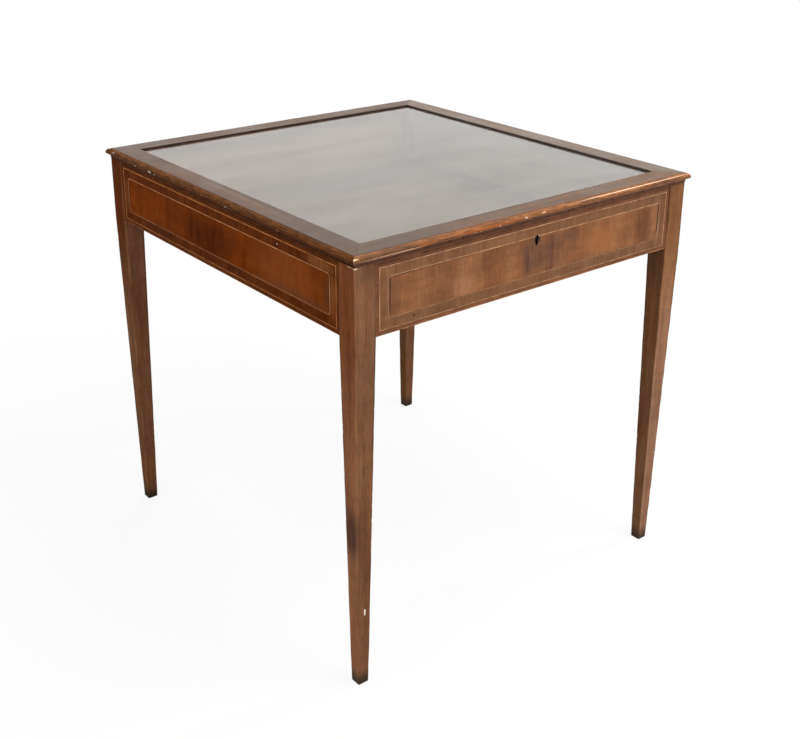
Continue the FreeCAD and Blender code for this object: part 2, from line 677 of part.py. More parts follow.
def make_bolt():
    """The bolt: a bar with two hooks on top, a talon below and slots for its studs."""
    top = CASE_TOP - BOLT_TOP
    foot = top - BOLT_HEIGHT
    bolt = box(BOLT_START, BOLT_START + BOLT_LENGTH, BOLT_FRONT, BOLT_BACK, foot, top)
    hooks = []
    for start in HOOK_STARTS:
        stem = (start, start + HOOK_STEM, BOLT_FRONT, BOLT_BACK, top, CASE_TOP - HOOK_TOP)
        tip = start + HOOK_STEM + HOOK_FINGER
        finger = (start, tip, BOLT_FRONT, BOLT_BACK, FINGER_FOOT, CASE_TOP - HOOK_TOP)
        hooks += [box(*stem), box(*finger)]
    talon_start = -BOLT_TRAVEL / 2 - TALON_WIDTH / 2
    talon = box(
        talon_start, talon_start + TALON_WIDTH, BOLT_FRONT, BOLT_BACK, foot, foot + TALON_HEIGHT
    )
    slots = [talon]
    radius = STUD_RADIUS + STUD_CLEARANCE
    for place in STUD_PLACES:
        x0 = place - BOLT_TRAVEL - STUD_CLEARANCE
        for x in (x0, place):
            slots.append(rod(radius, Vector(x, BOLT_FRONT, STUD_Z), Vector(x, BOLT_BACK, STUD_Z)))
        slots.append(box(x0, place, BOLT_FRONT, BOLT_BACK, STUD_Z - radius, STUD_Z + radius))
    return bolt.fuse(hooks).removeSplitter().cut(slots)


def make_spring():
    """A bowed strip on the bolt that presses under the selvedge and steadies the bolt."""
    z0 = CASE_TOP - BOLT_TOP
    rise = BOLT_TOP - SELVEDGE_THICKNESS - SPRING_CLEARANCE
    start = SPRING_START + SPRING_FOOT
    half = (SPRING_LENGTH - SPRING_FOOT) / 2
    radius = (half**2 + rise**2) / (2 * rise)
    centre = Vector(start + half, BOLT_FRONT, z0 + rise - radius)
    far = centre + Vector(0, BOLT_THICKNESS, 0)
    hoop = rod(radius, centre, far).cut(rod(radius - SPRING_THICKNESS, centre, far))
    span = (centre.x - radius, centre.x + radius, BOLT_FRONT, BOLT_BACK)
    bow = hoop.common(box(*span, z0, z0 + rise))
    end = start + 2 * SPRING_THICKNESS
    foot = box(SPRING_START, end, BOLT_FRONT, BOLT_BACK, z0, z0 + SPRING_THICKNESS)
    return bow.fuse(foot)


def make_link_plate():
    """The plate under the lid with its two staples, each with an eye for a finger of the bolt."""
    half = LINK_WIDTH / 2
    y0 = LOCK_LEVEL - LINK_DEPTH / 2
    plate = box(-half, half, y0, y0 + LINK_DEPTH, LID_BOTTOM, LINK_TOP)
    foot = FINGER_FOOT - STAPLE_EYE - STAPLE_WALL
    staples = []
    eyes = []
    for start in STAPLE_STARTS:
        x1 = start + STAPLE_THICKNESS
        y = (LOCK_LEVEL - STAPLE_HALF, LOCK_LEVEL + STAPLE_HALF)
        staples.append(box(start, x1, *y, foot, LID_BOTTOM))
        eye = (BOLT_FRONT - STAPLE_EYE, BOLT_BACK + STAPLE_EYE)
        z = (FINGER_FOOT - STAPLE_EYE, CASE_TOP - HOOK_TOP + STAPLE_EYE)
        eyes.append(box(start - CUT_PAST, x1 + CUT_PAST, *eye, *z))
    return plate.fuse(staples).removeSplitter().cut(eyes)


export("lock_plate", make_lock_plate())
export("lock_box", make_lock_box())
export("lock_bolt", make_bolt())
export("lock_spring", make_spring())
key_pin_end = SHOW_FRONT + KEY_PIN_STOP
export("lock_key_pin", rod(KEY_PIN_RADIUS, Vector(0, LOCK_FACE, KEY_Z), Vector(0, key_pin_end, KEY_Z)))
export("link_plate", make_link_plate())

liner = keyhole(LINER_WALL, SHOW_FRONT, SHOW_FRONT + LINER_DEPTH)
liner_bore = keyhole(0, SHOW_FRONT - CUT_PAST, SHOW_FRONT + LINER_DEPTH + CUT_PAST)
export("keyhole_liner", liner.cut(liner_bore))
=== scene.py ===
# %% [markdown]
# # A collectors display table
# An old mahogany table with a glazed lid over a shallow case. The construction is already made:
# every leg, rail, hinge and screw arrives at its real size and place. This lesson dresses it.
# It gives each piece the wood, glass or metal of the real one, and models anew the few pieces
# whose edges a century of hands has softened: the moulded lid, the legs and the slotted screws.

# %% Load the construction
import math

import bpy
import numpy as np
from mathutils import Matrix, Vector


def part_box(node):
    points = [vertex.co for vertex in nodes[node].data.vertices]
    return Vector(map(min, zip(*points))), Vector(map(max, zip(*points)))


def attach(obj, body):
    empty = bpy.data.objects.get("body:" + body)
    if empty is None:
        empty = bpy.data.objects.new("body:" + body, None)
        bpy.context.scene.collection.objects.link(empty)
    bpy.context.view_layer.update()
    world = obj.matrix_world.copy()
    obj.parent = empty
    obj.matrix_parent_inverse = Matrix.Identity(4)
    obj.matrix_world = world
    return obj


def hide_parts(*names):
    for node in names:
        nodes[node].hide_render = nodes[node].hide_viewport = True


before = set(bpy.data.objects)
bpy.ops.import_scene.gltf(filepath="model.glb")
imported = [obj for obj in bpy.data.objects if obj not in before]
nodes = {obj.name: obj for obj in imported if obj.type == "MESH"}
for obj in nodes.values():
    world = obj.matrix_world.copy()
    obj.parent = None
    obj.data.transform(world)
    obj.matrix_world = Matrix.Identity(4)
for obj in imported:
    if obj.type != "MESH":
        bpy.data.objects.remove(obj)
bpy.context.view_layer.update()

# %% [markdown]
# ## The camera
# The table is seen from its front left corner and from above. A camera can be aimed with a
# tracking constraint, or its axes can be worked out from a heading, a tilt and a roll. The
# second way is used here, because it fixes the view exactly and leaves nothing to solve. The
# lens is given as the distance in picture widths, and a small shift keeps the table centred.

# %% Aim the camera
CAMERA_PLACE = (-1.2863, -1.6418, 1.3017)
HEADING = math.radians(38.684)  # from +Y towards +X
TILT = math.radians(-20.183)
ROLL = math.radians(0.342)
PICTURE_WIDTH = 800.0
FOCAL_LENGTH = 1173.2  # in pixels of that width
SENSOR = 36.0
SHIFT_UP = -0.1244


def camera_axes(heading, tilt, roll):
    """Right, up and forward of a camera: forward from two angles, then both others rolled."""
    forward = np.array([
        math.sin(heading) * math.cos(tilt), math.cos(heading) * math.cos(tilt), math.sin(tilt)
    ])
    level = np.array([math.cos(heading), -math.sin(heading), 0.0])
    upright = np.cross(level, forward)
    right = level * math.cos(roll) + upright * math.sin(roll)
    up = upright * math.cos(roll) - level * math.sin(roll)
    return right, up, forward


def unit(vector):
    """The vector at length 1."""
    return vector / np.linalg.norm(vector)


def put(name, data):
    """A new object in the scene, which holds a mesh, a lamp or a camera."""
    thing = bpy.data.objects.new(name, data)
    bpy.context.scene.collection.objects.link(thing)
    return thing


def stand(thing, right, up, forward, place):
    """Turns and places a camera or a lamp, which both look along their own -Z."""
    columns = np.column_stack([right, up, -np.asarray(forward), place])
    thing.matrix_world = Matrix(np.vstack([columns, [0, 0, 0, 1]]).tolist())


camera_data = bpy.data.cameras.new("camera")
camera_data.sensor_width = SENSOR
camera_data.lens = FOCAL_LENGTH / PICTURE_WIDTH * SENSOR
camera_data.shift_y = SHIFT_UP
camera = put("camera", camera_data)
stand(camera, *camera_axes(HEADING, TILT, ROLL), CAMERA_PLACE)
bpy.context.scene.camera = camera
print("lens:", round(camera_data.lens, 2), "mm")

# %% [markdown]
# ## The floor and the light
# A studio floor is a plain pale sheet that takes the table's soft shadow. It could be lit until
# it is white, but that would wash out the wood. Instead the rays that the camera, a reflection
# or the glass sends see a mostly white sheet, and only the light's own bounces see plain paint.

# %% Helpers for node materials
def srgb(red, green, blue):
    """A colour as a paint chart gives it, 0 to 255, in the linear values that shaders take."""
    part = np.array([red, green, blue]) / 255
    linear = np.where(part <= 0.04045, part / 12.92, ((part + 0.055) / 1.055) ** 2.4)
    return (*linear.tolist(), 1.0)


class Finish:
    """A material while its nodes are laid out. Most methods add a node and return its output."""

    def __init__(self, name, tree=None):
        if tree is None:
            self.material = bpy.data.materials.new(name)
            self.material.use_nodes = True
            tree = self.material.node_tree
        self.tree = tree
        self.shader = tree.nodes.get("Principled BSDF")

    def add(self, kind, sockets=(), **settings):
        """A new shader node with its settings and its sockets filled."""
        made = self.tree.nodes.new("ShaderNode" + kind)
        for key, value in settings.items():
            setattr(made, key, value)
        return self.fill(made, dict(sockets))

    def fill(self, node, sockets):
        """Links each socket to the output it is given, or writes a plain value into it."""
        for key, value in sockets.items():
            if isinstance(value, bpy.types.NodeSocket):
                self.tree.links.new(value, node.inputs[key])
            else:
                node.inputs[key].default_value = value
        return node

    def where(self, chart=False):
        """The place on the piece, or on its own chart, in metres."""
        if chart:
            return self.add("UVMap", uv_map="along_and_round").outputs[0]
        return self.add("TexCoord").outputs["Object"]

    def axes(self, vector):
        """The three numbers of a vector."""
        return self.add("SeparateXYZ", {0: vector}).outputs

    def moved(self, vector, scale=(1, 1, 1), shift=(0, 0, 0)):
        """The vector times scale, plus shift."""
        sockets = {"Vector": vector, "Scale": scale, "Location": shift}
        return self.add("Mapping", sockets).outputs[0]

    def math(self, operation, first, second=0.0, clamp=False):
        """One sum, such as ADD, MULTIPLY or MAXIMUM."""
        sockets = {0: first, 1: second}
        return self.add("Math", sockets, operation=operation, use_clamp=clamp).outputs[0]

    def product(self, first, second, clamp=False):
        """Two numbers multiplied."""
        return self.math("MULTIPLY", first, second, clamp)

    def fade(self, value, start, end, low=0.0, high=1.0):
        """From low to high with a soft start and end, while value goes from start to end."""
        sockets = {"Value": value, "From Min": start, "From Max": end, "To Min": low, "To Max": high}
        return self.add("MapRange", sockets, interpolation_type="SMOOTHSTEP").outputs[0]

    def noise(self, vector, scale, detail=3.0, roughness=0.55, twist=0.0):
        """Cloudy noise between 0 and 1."""
        sockets = {
            "Vector": vector, "Scale": scale, "Detail": detail,
            "Roughness": roughness, "Distortion": twist,
        }
        return self.add("TexNoise", sockets).outputs[0]

    def mix(self, amount, under, over, blend="MIX"):
        """One colour over another. A colour of three numbers is read by srgb."""
        made = self.add("Mix", data_type="RGBA", blend_type=blend)
        under, over = (
            srgb(*colour) if isinstance(colour, tuple) and len(colour) == 3 else colour
            for colour in (under, over)
        )
        return self.fill(made, {0: amount, 6: under, 7: over}).outputs[2]

    def times(self, colour, number):
        """A colour made darker or lighter by a number."""
        grey = self.add("CombineColor", {0: number, 1: number, 2: number}).outputs[0]
        return self.mix(1.0, colour, grey, "MULTIPLY")

    def layer(self, name):
        """A wear layer stored on the piece."""
        return self.add("Attribute", attribute_name=name).outputs["Fac"]

    def spot(self, vector, centre, radii):
        """1 at a centre, fading to 0 at the skin of an ellipsoid round it."""
        scale = [1 / radius for radius in radii]
        shift = [-place / radius for place, radius in zip(centre, radii)]
        local = self.moved(vector, scale, shift)
        reach = self.add("VectorMath", {0: local}, operation="LENGTH").outputs["Value"]
        return self.fade(reach, 1.0, 0.25)

    def bump(self, height, distance, strength=1.0):
        """A fine relief: height times distance, in metres."""
        sockets = {"Height": height, "Distance": distance, "Strength": strength}
        normal = self.add("Bump", sockets).outputs[0]
        self.fill(self.shader, {"Normal": normal})

    def mix_shaders(self, share, first, second):
        """The finished material: one shader, and by a share the other over it."""
        both = self.add("MixShader", {0: share, 1: first.outputs[0], 2: second.outputs[0]})
        self.fill(self.tree.nodes["Material Output"], {"Surface": both.outputs[0]})
        return self.material


# %% Lay the floor
FLOOR_HALF = 6.0
FLOOR_PAINT = srgb(226, 225, 222)
SHADOW_SHARE = 0.13
SHADOW_REACH = (0.9, 2.2)  # metres from the table over which the floor fades to plain white


def seen_straight(finish):
    """1 for rays of the camera, of a reflection or through the glass, and 0 for bounced light."""
    path = finish.add("LightPath").outputs
    both = finish.math("ADD", path["Is Camera Ray"], path["Is Glossy Ray"], clamp=True)
    return finish.math("ADD", both, path["Is Transmission Ray"], clamp=True)


def floor_finish():
    """Pale paint that shows mostly as white, and wholly so away from the table."""
    finish = Finish("floor_paint")
    place = finish.where()
    away = finish.add("VectorMath", {0: place}, operation="LENGTH").outputs["Value"]
    white = finish.fade(away, *SHADOW_REACH, low=1 - SHADOW_SHARE, high=1.0)
    share = finish.product(white, seen_straight(finish))
    matt = {"Base Color": FLOOR_PAINT, "Roughness": 0.9, "Specular IOR Level": 0.0}
    finish.fill(finish.shader, matt)
    glow = finish.add("Emission", {"Color": (1, 1, 1, 1), "Strength": 1.0})
    return finish.mix_shaders(share, finish.shader, glow)


floor_mesh = bpy.data.meshes.new("floor")
corners = [(x * FLOOR_HALF, y * FLOOR_HALF, 0.0) for x, y in ((-1, -1), (1, -1), (1, 1), (-1, 1))]
floor_mesh.from_pydata(corners, [], [(0, 1, 2, 3)])
floor_mesh.materials.append(floor_finish())
floor = put("floor", floor_mesh)
print("floor:", 2 * FLOOR_HALF, "m wide")

# %% Light the studio
WORLD_LIGHT = 0.52
world = bpy.data.worlds.new("studio")
world.use_nodes = True
bpy.context.scene.world = world
sky = Finish("studio", world.node_tree)
white_or_light = sky.fade(seen_straight(sky), 0.0, 1.0, low=WORLD_LIGHT, high=1.0)
background = {"Color": (1, 1, 1, 1), "Strength": white_or_light}
sky.fill(world.node_tree.nodes["Background"], background)

LAMPS = {  # place, size in metres and power in watts
    "key_light": ((1.0, -2.1, 3.3), 2.2, 95.0),
    "fill_light": ((-2.0, -0.7, 3.1), 2.0, 36.0),
    "back_light": ((1.0, 1.7, 3.2), 2.0, 34.0),
    "edge_light": ((3.1, -0.95, 2.95), 0.6, 46.0),
}
LAMP_TARGET = np.array([0.0, 0.0, 0.55])
for name, (place, size, power) in LAMPS.items():
    lamp_data = bpy.data.lights.new(name, "AREA")
    lamp_data.shape = "DISK"
    lamp_data.size = size
    lamp_data.energy = power
    aim = unit(LAMP_TARGET - np.array(place))
    side = unit(np.cross(aim, [0.0, 0.0, 1.0]))
    stand(put(name, lamp_data), side, np.cross(side, aim), aim, place)
print("lamps:", list(LAMPS))
bpy.context.scene.view_settings.view_transform = "Standard"

# %% [markdown]
# ## Sizes taken from the construction
# The new pieces have to sit exactly where the old ones were, so their sizes are read from the
# boxes of the pieces that they stand for, and only the moulding's own shape is given here.

# %% Read the main sizes
MM = 0.001


def corners_of(node):
    """The lowest and the highest corner of a piece's box."""
    return [np.array(corner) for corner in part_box(node)]


low, high = corners_of("leg_front_left")
LEG_SIDE = high[0] - low[0]
HALF_X, HALF_Y = -low[0], -low[1]
CASE_TOP = high[2]
APRON_FOOT = corners_of("front_border_veneer")[0][2]
SHOW_FRONT = corners_of("front_field_veneer")[0][1]
SHOW_LEFT = corners_of("left_field_veneer")[0][0]
low, high = corners_of("lid_front_rail")
LID_BOTTOM, LID_TOP = low[2], high[2]
MOULD_REACH = -low[1] - HALF_Y
print("half sizes:", round(HALF_X, 4), round(HALF_Y, 4), "case top:", round(CASE_TOP, 4))

# %% [markdown]
# ## Surfaces from arrays
# A moulded rail, a leg and a screw are all one idea: a closed outline carried along a path. On
# a grid, one direction runs round the outline and the other along the path. Working on whole
# arrays keeps this fast and exact, and lets wear be added as one more array.

# %% Turn a grid of points into a piece
def new_piece(name, points, faces):
    """A smoothly shaded piece from its points and faces."""
    mesh = bpy.data.meshes.new(name)
    mesh.from_pydata(points.tolist(), [], faces)
    mesh.polygons.foreach_set("use_smooth", np.ones(len(mesh.polygons), dtype=bool))
    mesh.update()
    return put(name, mesh)


def grid_faces(rows, columns):
    """The squares of a grid whose last column meets its first, then its first and last row."""
    index = np.arange(rows * columns).reshape(rows, columns)
    after = np.roll(index, -1, axis=1)
    squares = np.stack([index[:-1], index[1:], after[1:], after[:-1]], axis=-1).reshape(-1, 4)
    return squares, index[0], index[-1][::-1]


def grid_piece(name, points, u=None, v=None, **layers):
    """A closed piece from points[row, column]: rows run along it, and columns run round it.

    The two ends are closed by one face each. u and v are the pattern's coordinates in metres:
    u along the rows, v round the columns with one more value for the seam. Each layer is an
    array of one number per point, which materials read by its name.
    """
    rows, columns = points.shape[:2]
    squares, *ends = grid_faces(rows, columns)
    flat = points.reshape(-1, 3)
    piece = new_piece(name, flat, squares.tolist() + [end.tolist() for end in ends])
    mesh = piece.data
    if u is not None:
        run = np.broadcast_to(u, (rows, columns))
        run = np.concatenate([run, run[:, :1]], axis=1)
        chart = np.stack([run, np.broadcast_to(v, run.shape)], axis=-1)
        around = [chart[:-1, :-1], chart[1:, :-1], chart[1:, 1:], chart[:-1, 1:]]
        around = np.stack(around, axis=2).reshape(-1, 2)
        pairs = np.concatenate([around, chart[0, :-1], chart[-1, :-1][::-1]])
        uv = mesh.uv_layers.new(name="along_and_round")
        uv.data.foreach_set("uv", pairs.astype(np.float32).ravel())
    for layer, values in layers.items():
        numbers = np.broadcast_to(values, (rows, columns)).astype(np.float32).ravel()
        mesh.attributes.new(layer, "FLOAT", "POINT").data.foreach_set("value", numbers)
    a, b, c, d = (flat[squares[:, k]] for k in range(4))
    if (a * (np.cross(b, c) + np.cross(c, d))).sum() < 0:  # the volume, when inside out
        mesh.flip_normals()
    mesh.update()
    return piece


# %% A closed outline with rounded corners
def rounded_outline(corners, step):
    """Points round a closed polygon, each corner a circular arc of its own radius.

    Each corner is (x, y, radius, stretch). Two sides meet at a corner, and the arc leaves one
    and joins the other at radius / tan(half the angle) from it. The straight run that follows
    is divided into pieces of at most stretch. Returns the points and each one's corner number.
    """
    place = np.array([corner[:2] for corner in corners])
    arcs = []
    for k, (_, _, radius, _) in enumerate(corners):
        here = place[k]
        back, ahead = unit(place[k - 1] - here), unit(place[(k + 1) % len(place)] - here)
        half = math.acos(np.clip(back @ ahead, -1, 1)) / 2
        reach = radius / math.tan(half)
        centre = here + unit(back + ahead) * radius / math.sin(half)
        start, end = here + back * reach - centre, here + ahead * reach - centre
        turn = math.pi - 2 * half
        count = max(3, math.ceil(turn * radius / step) + 1)
        t = np.linspace(0, 1, count)[:, None]
        arc = (np.sin((1 - t) * turn) * start + np.sin(t * turn) * end) / math.sin(turn) + centre
        arcs.append(arc)
    made, owner = [], []
    for k, arc in enumerate(arcs):
        gap = arcs[(k + 1) % len(arcs)][0] - arc[-1]
        pieces = max(1, math.ceil(np.linalg.norm(gap) / corners[k][3]))
        run = arc[-1] + gap * (np.arange(1, pieces) / pieces)[:, None]
        made += [arc, run]
        owner += [np.full(len(arc), k), np.full(len(run), k + 0.5)]
    return np.concatenate(made), np.concatenate(owner)


# %% Smooth chance, for wear that never repeats
def waves(points, size, seed, count=9):
    """A smooth random field between about -1 and 1: the mean of plane waves of about one size."""
    chance = np.random.default_rng(seed)
    ways = chance.normal(size=(count, points.shape[-1]))
    ways /= np.linalg.norm(ways, axis=1)[:, None]
    pitch = 2 * math.pi / size * chance.uniform(0.6, 1.6, count)
    phase = chance.uniform(0, 2 * math.pi, count)
    return np.sin(points @ (ways * pitch[:, None]).T + phase).sum(axis=-1) / math.sqrt(count)


# %% [markdown]
# ## The lid's moulded rails
# Each rail is planed with a flat top, a small step, a rounded nose and a cove below it, and is
# cut at 45 degrees at both ends. A curve with a bevel profile could draw it, but its ends would
# be square. Here the outline is carried along a grid whose last rows slide onto the mitre. The
# cuts for the hinges and the lock are part of the same function: over a leaf, the underside is
# simply not allowed below the leaf's level.

# %% The rail's outline
RAIL_FACE = corners_of("glazing_bead_front")[1][1] + HALF_Y
GLASS_LIP = LID_TOP - corners_of("glass_pane")[1][2]
REBATE_WALL = HALF_Y + corners_of("glass_pane")[0][1] - 1.0 * MM
LID_DEPTH = LID_TOP - LID_BOTTOM
NOSE = 7.2 * MM
STEP = 0.8 * MM
COVE = 4.4 * MM
NOSE_FOOT = 10.4 * MM  # under the nose, from the top
COVE_TOP = 11.0 * MM
NOSE_PAINT = 7.4 * MM  # worn bright and painted lighter above this, from the top
FINE = 0.45 * MM
RAIL_CORNERS = [  # inwards from the leg's face, down from the top, radius, longest straight piece
    (RAIL_FACE, 0.0, 0.7 * MM, 2.2 * MM),
    (1.0 * MM, 0.0, 0.45 * MM, 0.5 * MM),
    (1.0 * MM, STEP, 0.2 * MM, 0.5 * MM),
    (-MOULD_REACH, STEP, NOSE, 0.4 * MM),
    (-MOULD_REACH, NOSE_FOOT, 1.6 * MM, 0.3 * MM),
    (-4.8 * MM, NOSE_FOOT, 0.2 * MM, 0.3 * MM),
    (-4.8 * MM, COVE_TOP, 0.15 * MM, 0.3 * MM),
    (-0.4 * MM, COVE_TOP, COVE, 0.6 * MM),
    (-0.4 * MM, LID_DEPTH, 0.35 * MM, 4.0 * MM),
    (REBATE_WALL, LID_DEPTH, 0.3 * MM, 3.0 * MM),
    (REBATE_WALL, GLASS_LIP, 0.2 * MM, 3.0 * MM),
    (RAIL_FACE, GLASS_LIP, 0.35 * MM, 1.5 * MM),
]
CREST, NOSE_TOP, NOSE_END, COVE_START, COVE_END, LIP = 1, 3, 4, 5, 8, 11  # corners by number
UNDERSIDE = 8.5  # the straight run after corner 8
outline, outline_part = rounded_outline(RAIL_CORNERS, FINE)
print("rail outline:", len(outline), "points")

# %% Wear along the moulding
CHIP_LONG, CHIP_WIDE = (1.2, 5.0), (0.7, 1.8)  # half sizes in mm


def chips(along, round_, deepest, seed, count, spans):
    """Small knocks: for each, deepest * (1 - distance squared) within its own small ellipse.

    along and round_ are the places on the surface in metres. spans gives the lowest and highest
    place round the outline where a knock may fall.
    """
    chance = np.random.default_rng(seed)
    sunk = np.zeros(np.broadcast(along, round_).shape)
    for _ in range(count):
        middle = chance.uniform(along.min(), along.max())
        level = chance.uniform(*spans)
        long, wide = chance.uniform(*CHIP_LONG) * MM, chance.uniform(*CHIP_WIDE) * MM
        depth = deepest * chance.uniform(0.3, 1.0)
        away = ((along - middle) / long) ** 2 + ((round_ - level) / wide) ** 2
        sunk = np.maximum(sunk, depth * np.clip(1 - away, 0, None) ** 0.7)
    return sunk


# %% Carry the outline along a rail
ROW_STEP = 1.3 * MM
RECESS = 2.0 * MM  # how deep the hinge leaves and the link plate are let in
SHARP = 0.02 * MM
MITRE_RUN = 25 * MM  # of each end, where the rows turn to 45 degrees
MITRE_ROWS = 60
LAST_ROWS = [0.9925, 0.997, 1.0]  # shares of that run, close together for the crisp joint
NOSE_FADE = 1.6 * MM
UNEVEN = 0.07 * MM
KNOCKS = 26
KNOCK_DEEP = 0.55 * MM
TORN_DEEP = 0.8 * MM
CREST_HALF = 0.7 * MM
RUBBED_DEEP = 0.16 * MM
JOINT_HALF = 0.5 * MM
JOINT_DEEP = 0.16 * MM


def rail_rows(middle, edges):
    """Row places along the straight middle of a rail, with a close pair at each recess edge."""
    even = np.linspace(-middle, middle, math.ceil(2 * middle / ROW_STEP))
    pairs = [edge + way * SHARP / 2 for edge in edges for way in (-1, 1)]
    return np.unique(np.concatenate([even, pairs]))


def moulded_rail(side, half, across, turn, cuts, torn_count, seed):
    """One rail: the outline in its mitred run, worn, cut for its fittings and turned to its side.

    half is the rail's half length at the legs' faces, across is the distance from the middle of
    the table to the legs' faces. cuts are (left, right, near, far) of each recess. torn_count
    is how many splinters are gone from below the nose. The flat faces get the piece's first
    material and the moulding its second.
    """
    section, part = outline.copy(), outline_part.copy()
    for near in sorted({edge for cut in cuts for edge in cut[2:] if edge > 0}):
        spot = np.flatnonzero((part == UNDERSIDE) & (section[:, 0] < near))[-1] + 1
        extra = np.array([[near - SHARP / 2, LID_DEPTH], [near + SHARP / 2, LID_DEPTH]])
        section = np.insert(section, spot, extra, axis=0)
        part = np.insert(part, spot, [UNDERSIDE, UNDERSIDE])
    inward, down = section.T
    straight = half - RAIL_FACE - MITRE_RUN
    rows = rail_rows(straight, [edge for cut in cuts for edge in cut[:2]])
    end_share = np.concatenate([np.linspace(0, 1, MITRE_ROWS)[1:-1] ** 0.9, LAST_ROWS])
    limit = half - inward
    end = straight + (limit - straight) * end_share[:, None]
    along = np.concatenate([-end[::-1], np.broadcast_to(rows[:, None], (len(rows), len(inward))), end])
    steps = np.linalg.norm(np.diff(np.vstack([section, section[:1]]), axis=0), axis=1)
    round_ = np.concatenate([[0], np.cumsum(steps)])
    v = round_[:-1]

    tangent = np.roll(section, -1, axis=0) - np.roll(section, 1, axis=0)
    tangent /= np.linalg.norm(tangent, axis=1)[:, None]
    outward = np.stack([-tangent[:, 1], tangent[:, 0]], axis=1)
    if outward[np.argmin(inward), 0] > 0:
        outward = -outward

    # upper: the nose, worn and painted lighter where light falls on it; lower: the heel below it,
    # painted darker as shade
    upper = np.clip((NOSE_PAINT - down) / NOSE_FADE, 0, 1) * ((part > CREST) & (part <= NOSE_TOP))
    lower = ((part >= NOSE_TOP) & (part < COVE_START)) - upper
    nose_v = (v[part == NOSE_TOP].min(), v[part == NOSE_END].max())
    cove_end = v[part == COVE_END].min()
    place = np.stack([along, np.broadcast_to(v, along.shape)], axis=-1)
    shown = part < COVE_END + 1
    uneven = UNEVEN * waves(place, 60 * MM, seed) * shown
    knocks = chips(along, v, KNOCK_DEEP, seed + 1, KNOCKS, nose_v)
    torn = chips(along, v, TORN_DEEP, seed + 2, torn_count, (nose_v[1] - 3.0 * MM, cove_end))
    crest = np.exp(-((v - v[part == CREST].mean()) / CREST_HALF) ** 2)
    rubbed = crest * RUBBED_DEEP * (1 + waves(place, 25 * MM, seed + 3)) * 0.5
    joint = np.clip(1 - (limit - np.abs(along)) / JOINT_HALF, 0, 1) * shown
    sunk = knocks + torn + rubbed + JOINT_DEEP * joint + np.clip(uneven, 0, None)
    sunk = np.clip(sunk, 0, 1.0 * MM)

    y_in = inward - outward[:, 0] * sunk
    drop = down - outward[:, 1] * sunk
    for left, right, near, far in cuts:
        inside = (along > left) & (along < right) & (inward > near) & (inward < far)
        drop = np.where(inside, np.minimum(drop, LID_DEPTH - RECESS), drop)
    drop = np.clip(drop, 0, LID_DEPTH)
    y_in = np.clip(y_in, -MOULD_REACH, RAIL_FACE)

    x, y, z = along, y_in - across, LID_TOP - drop
    cos, sin = math.cos(turn), math.sin(turn)
    points = np.stack([x * cos - y * sin, x * sin + y * cos, z], axis=-1)
    piece = grid_piece(
        f"lid_{side}_rail_worn", points, u=along, v=round_, nose=upper, heel=lower,
        cove=(part >= COVE_START) & (part <= COVE_END),
        # sight: the inner edge that is painted dark as shade
        sight=((part >= LIP) | (part == 0)) * (drop > 0.5 * MM),
        chip=np.clip((knocks + torn) / (0.4 * MM), 0, 1), joint=joint,
    )
    moulded = np.zeros(len(piece.data.polygons), dtype=np.int32)
    moulded[:-2] = np.tile((part > CREST) & (part <= COVE_END), len(along) - 1)
    piece.data.polygons.foreach_set("material_index", moulded)
    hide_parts(f"lid_{side}_rail")
    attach(piece, "lid")
    return piece


# %% Make the four rails
QUARTER = math.pi / 2
LEAF_GAP = 0.2 * MM
hinge_cuts = []
for name in ("left", "right"):
    low, high = corners_of(f"hinge_{name}_lid_leaf")
    leaf_in = HALF_Y - low[1] + LEAF_GAP
    hinge_cuts.append((-high[0] - LEAF_GAP, -low[0] + LEAF_GAP, -3.0 * MM, leaf_in))
low, high = corners_of("link_plate")
link_cut = (
    low[0] - LEAF_GAP, high[0] + LEAF_GAP,
    low[1] + HALF_Y - LEAF_GAP, high[1] + HALF_Y + LEAF_GAP,
)
RAILS = {
    "front": (HALF_X, HALF_Y, 0.0, [link_cut], 30, 11),
    "right": (HALF_Y, HALF_X, QUARTER, [], 40, 23),
    "rear": (HALF_X, HALF_Y, 2 * QUARTER, hinge_cuts, 40, 37),
    "left": (HALF_Y, HALF_X, 3 * QUARTER, [], 110, 41),
}
rails = {side: moulded_rail(side, *values) for side, values in RAILS.items()}
for side, rail in rails.items():
    print(side, "rail:", len(rail.data.polygons), "faces")

# %% [markdown]
# ## The legs
# A leg is square, upright beside the aprons and tapered below them. Its corners were crisp when
# it was new. Shoes, brooms and hands have since rounded them, most near the foot, so the radius
# of the corner is itself a smooth random function of the height.

# %% Make the four legs
LEG_ARRIS = 0.9 * MM
FOOT_SIDE = 20.0 * MM
FOOT_ROUND = 0.7 * MM
ARC_STEPS = 6
FLAT_STEPS = 9
LEG_ROWS = 430
CHANCE_APART = 0.31  # keeps the wear of the four corners different
NICKS = 9
NICK_DEEP = 1.1 * MM
FOOT_WEAR_REACH = 25 * MM


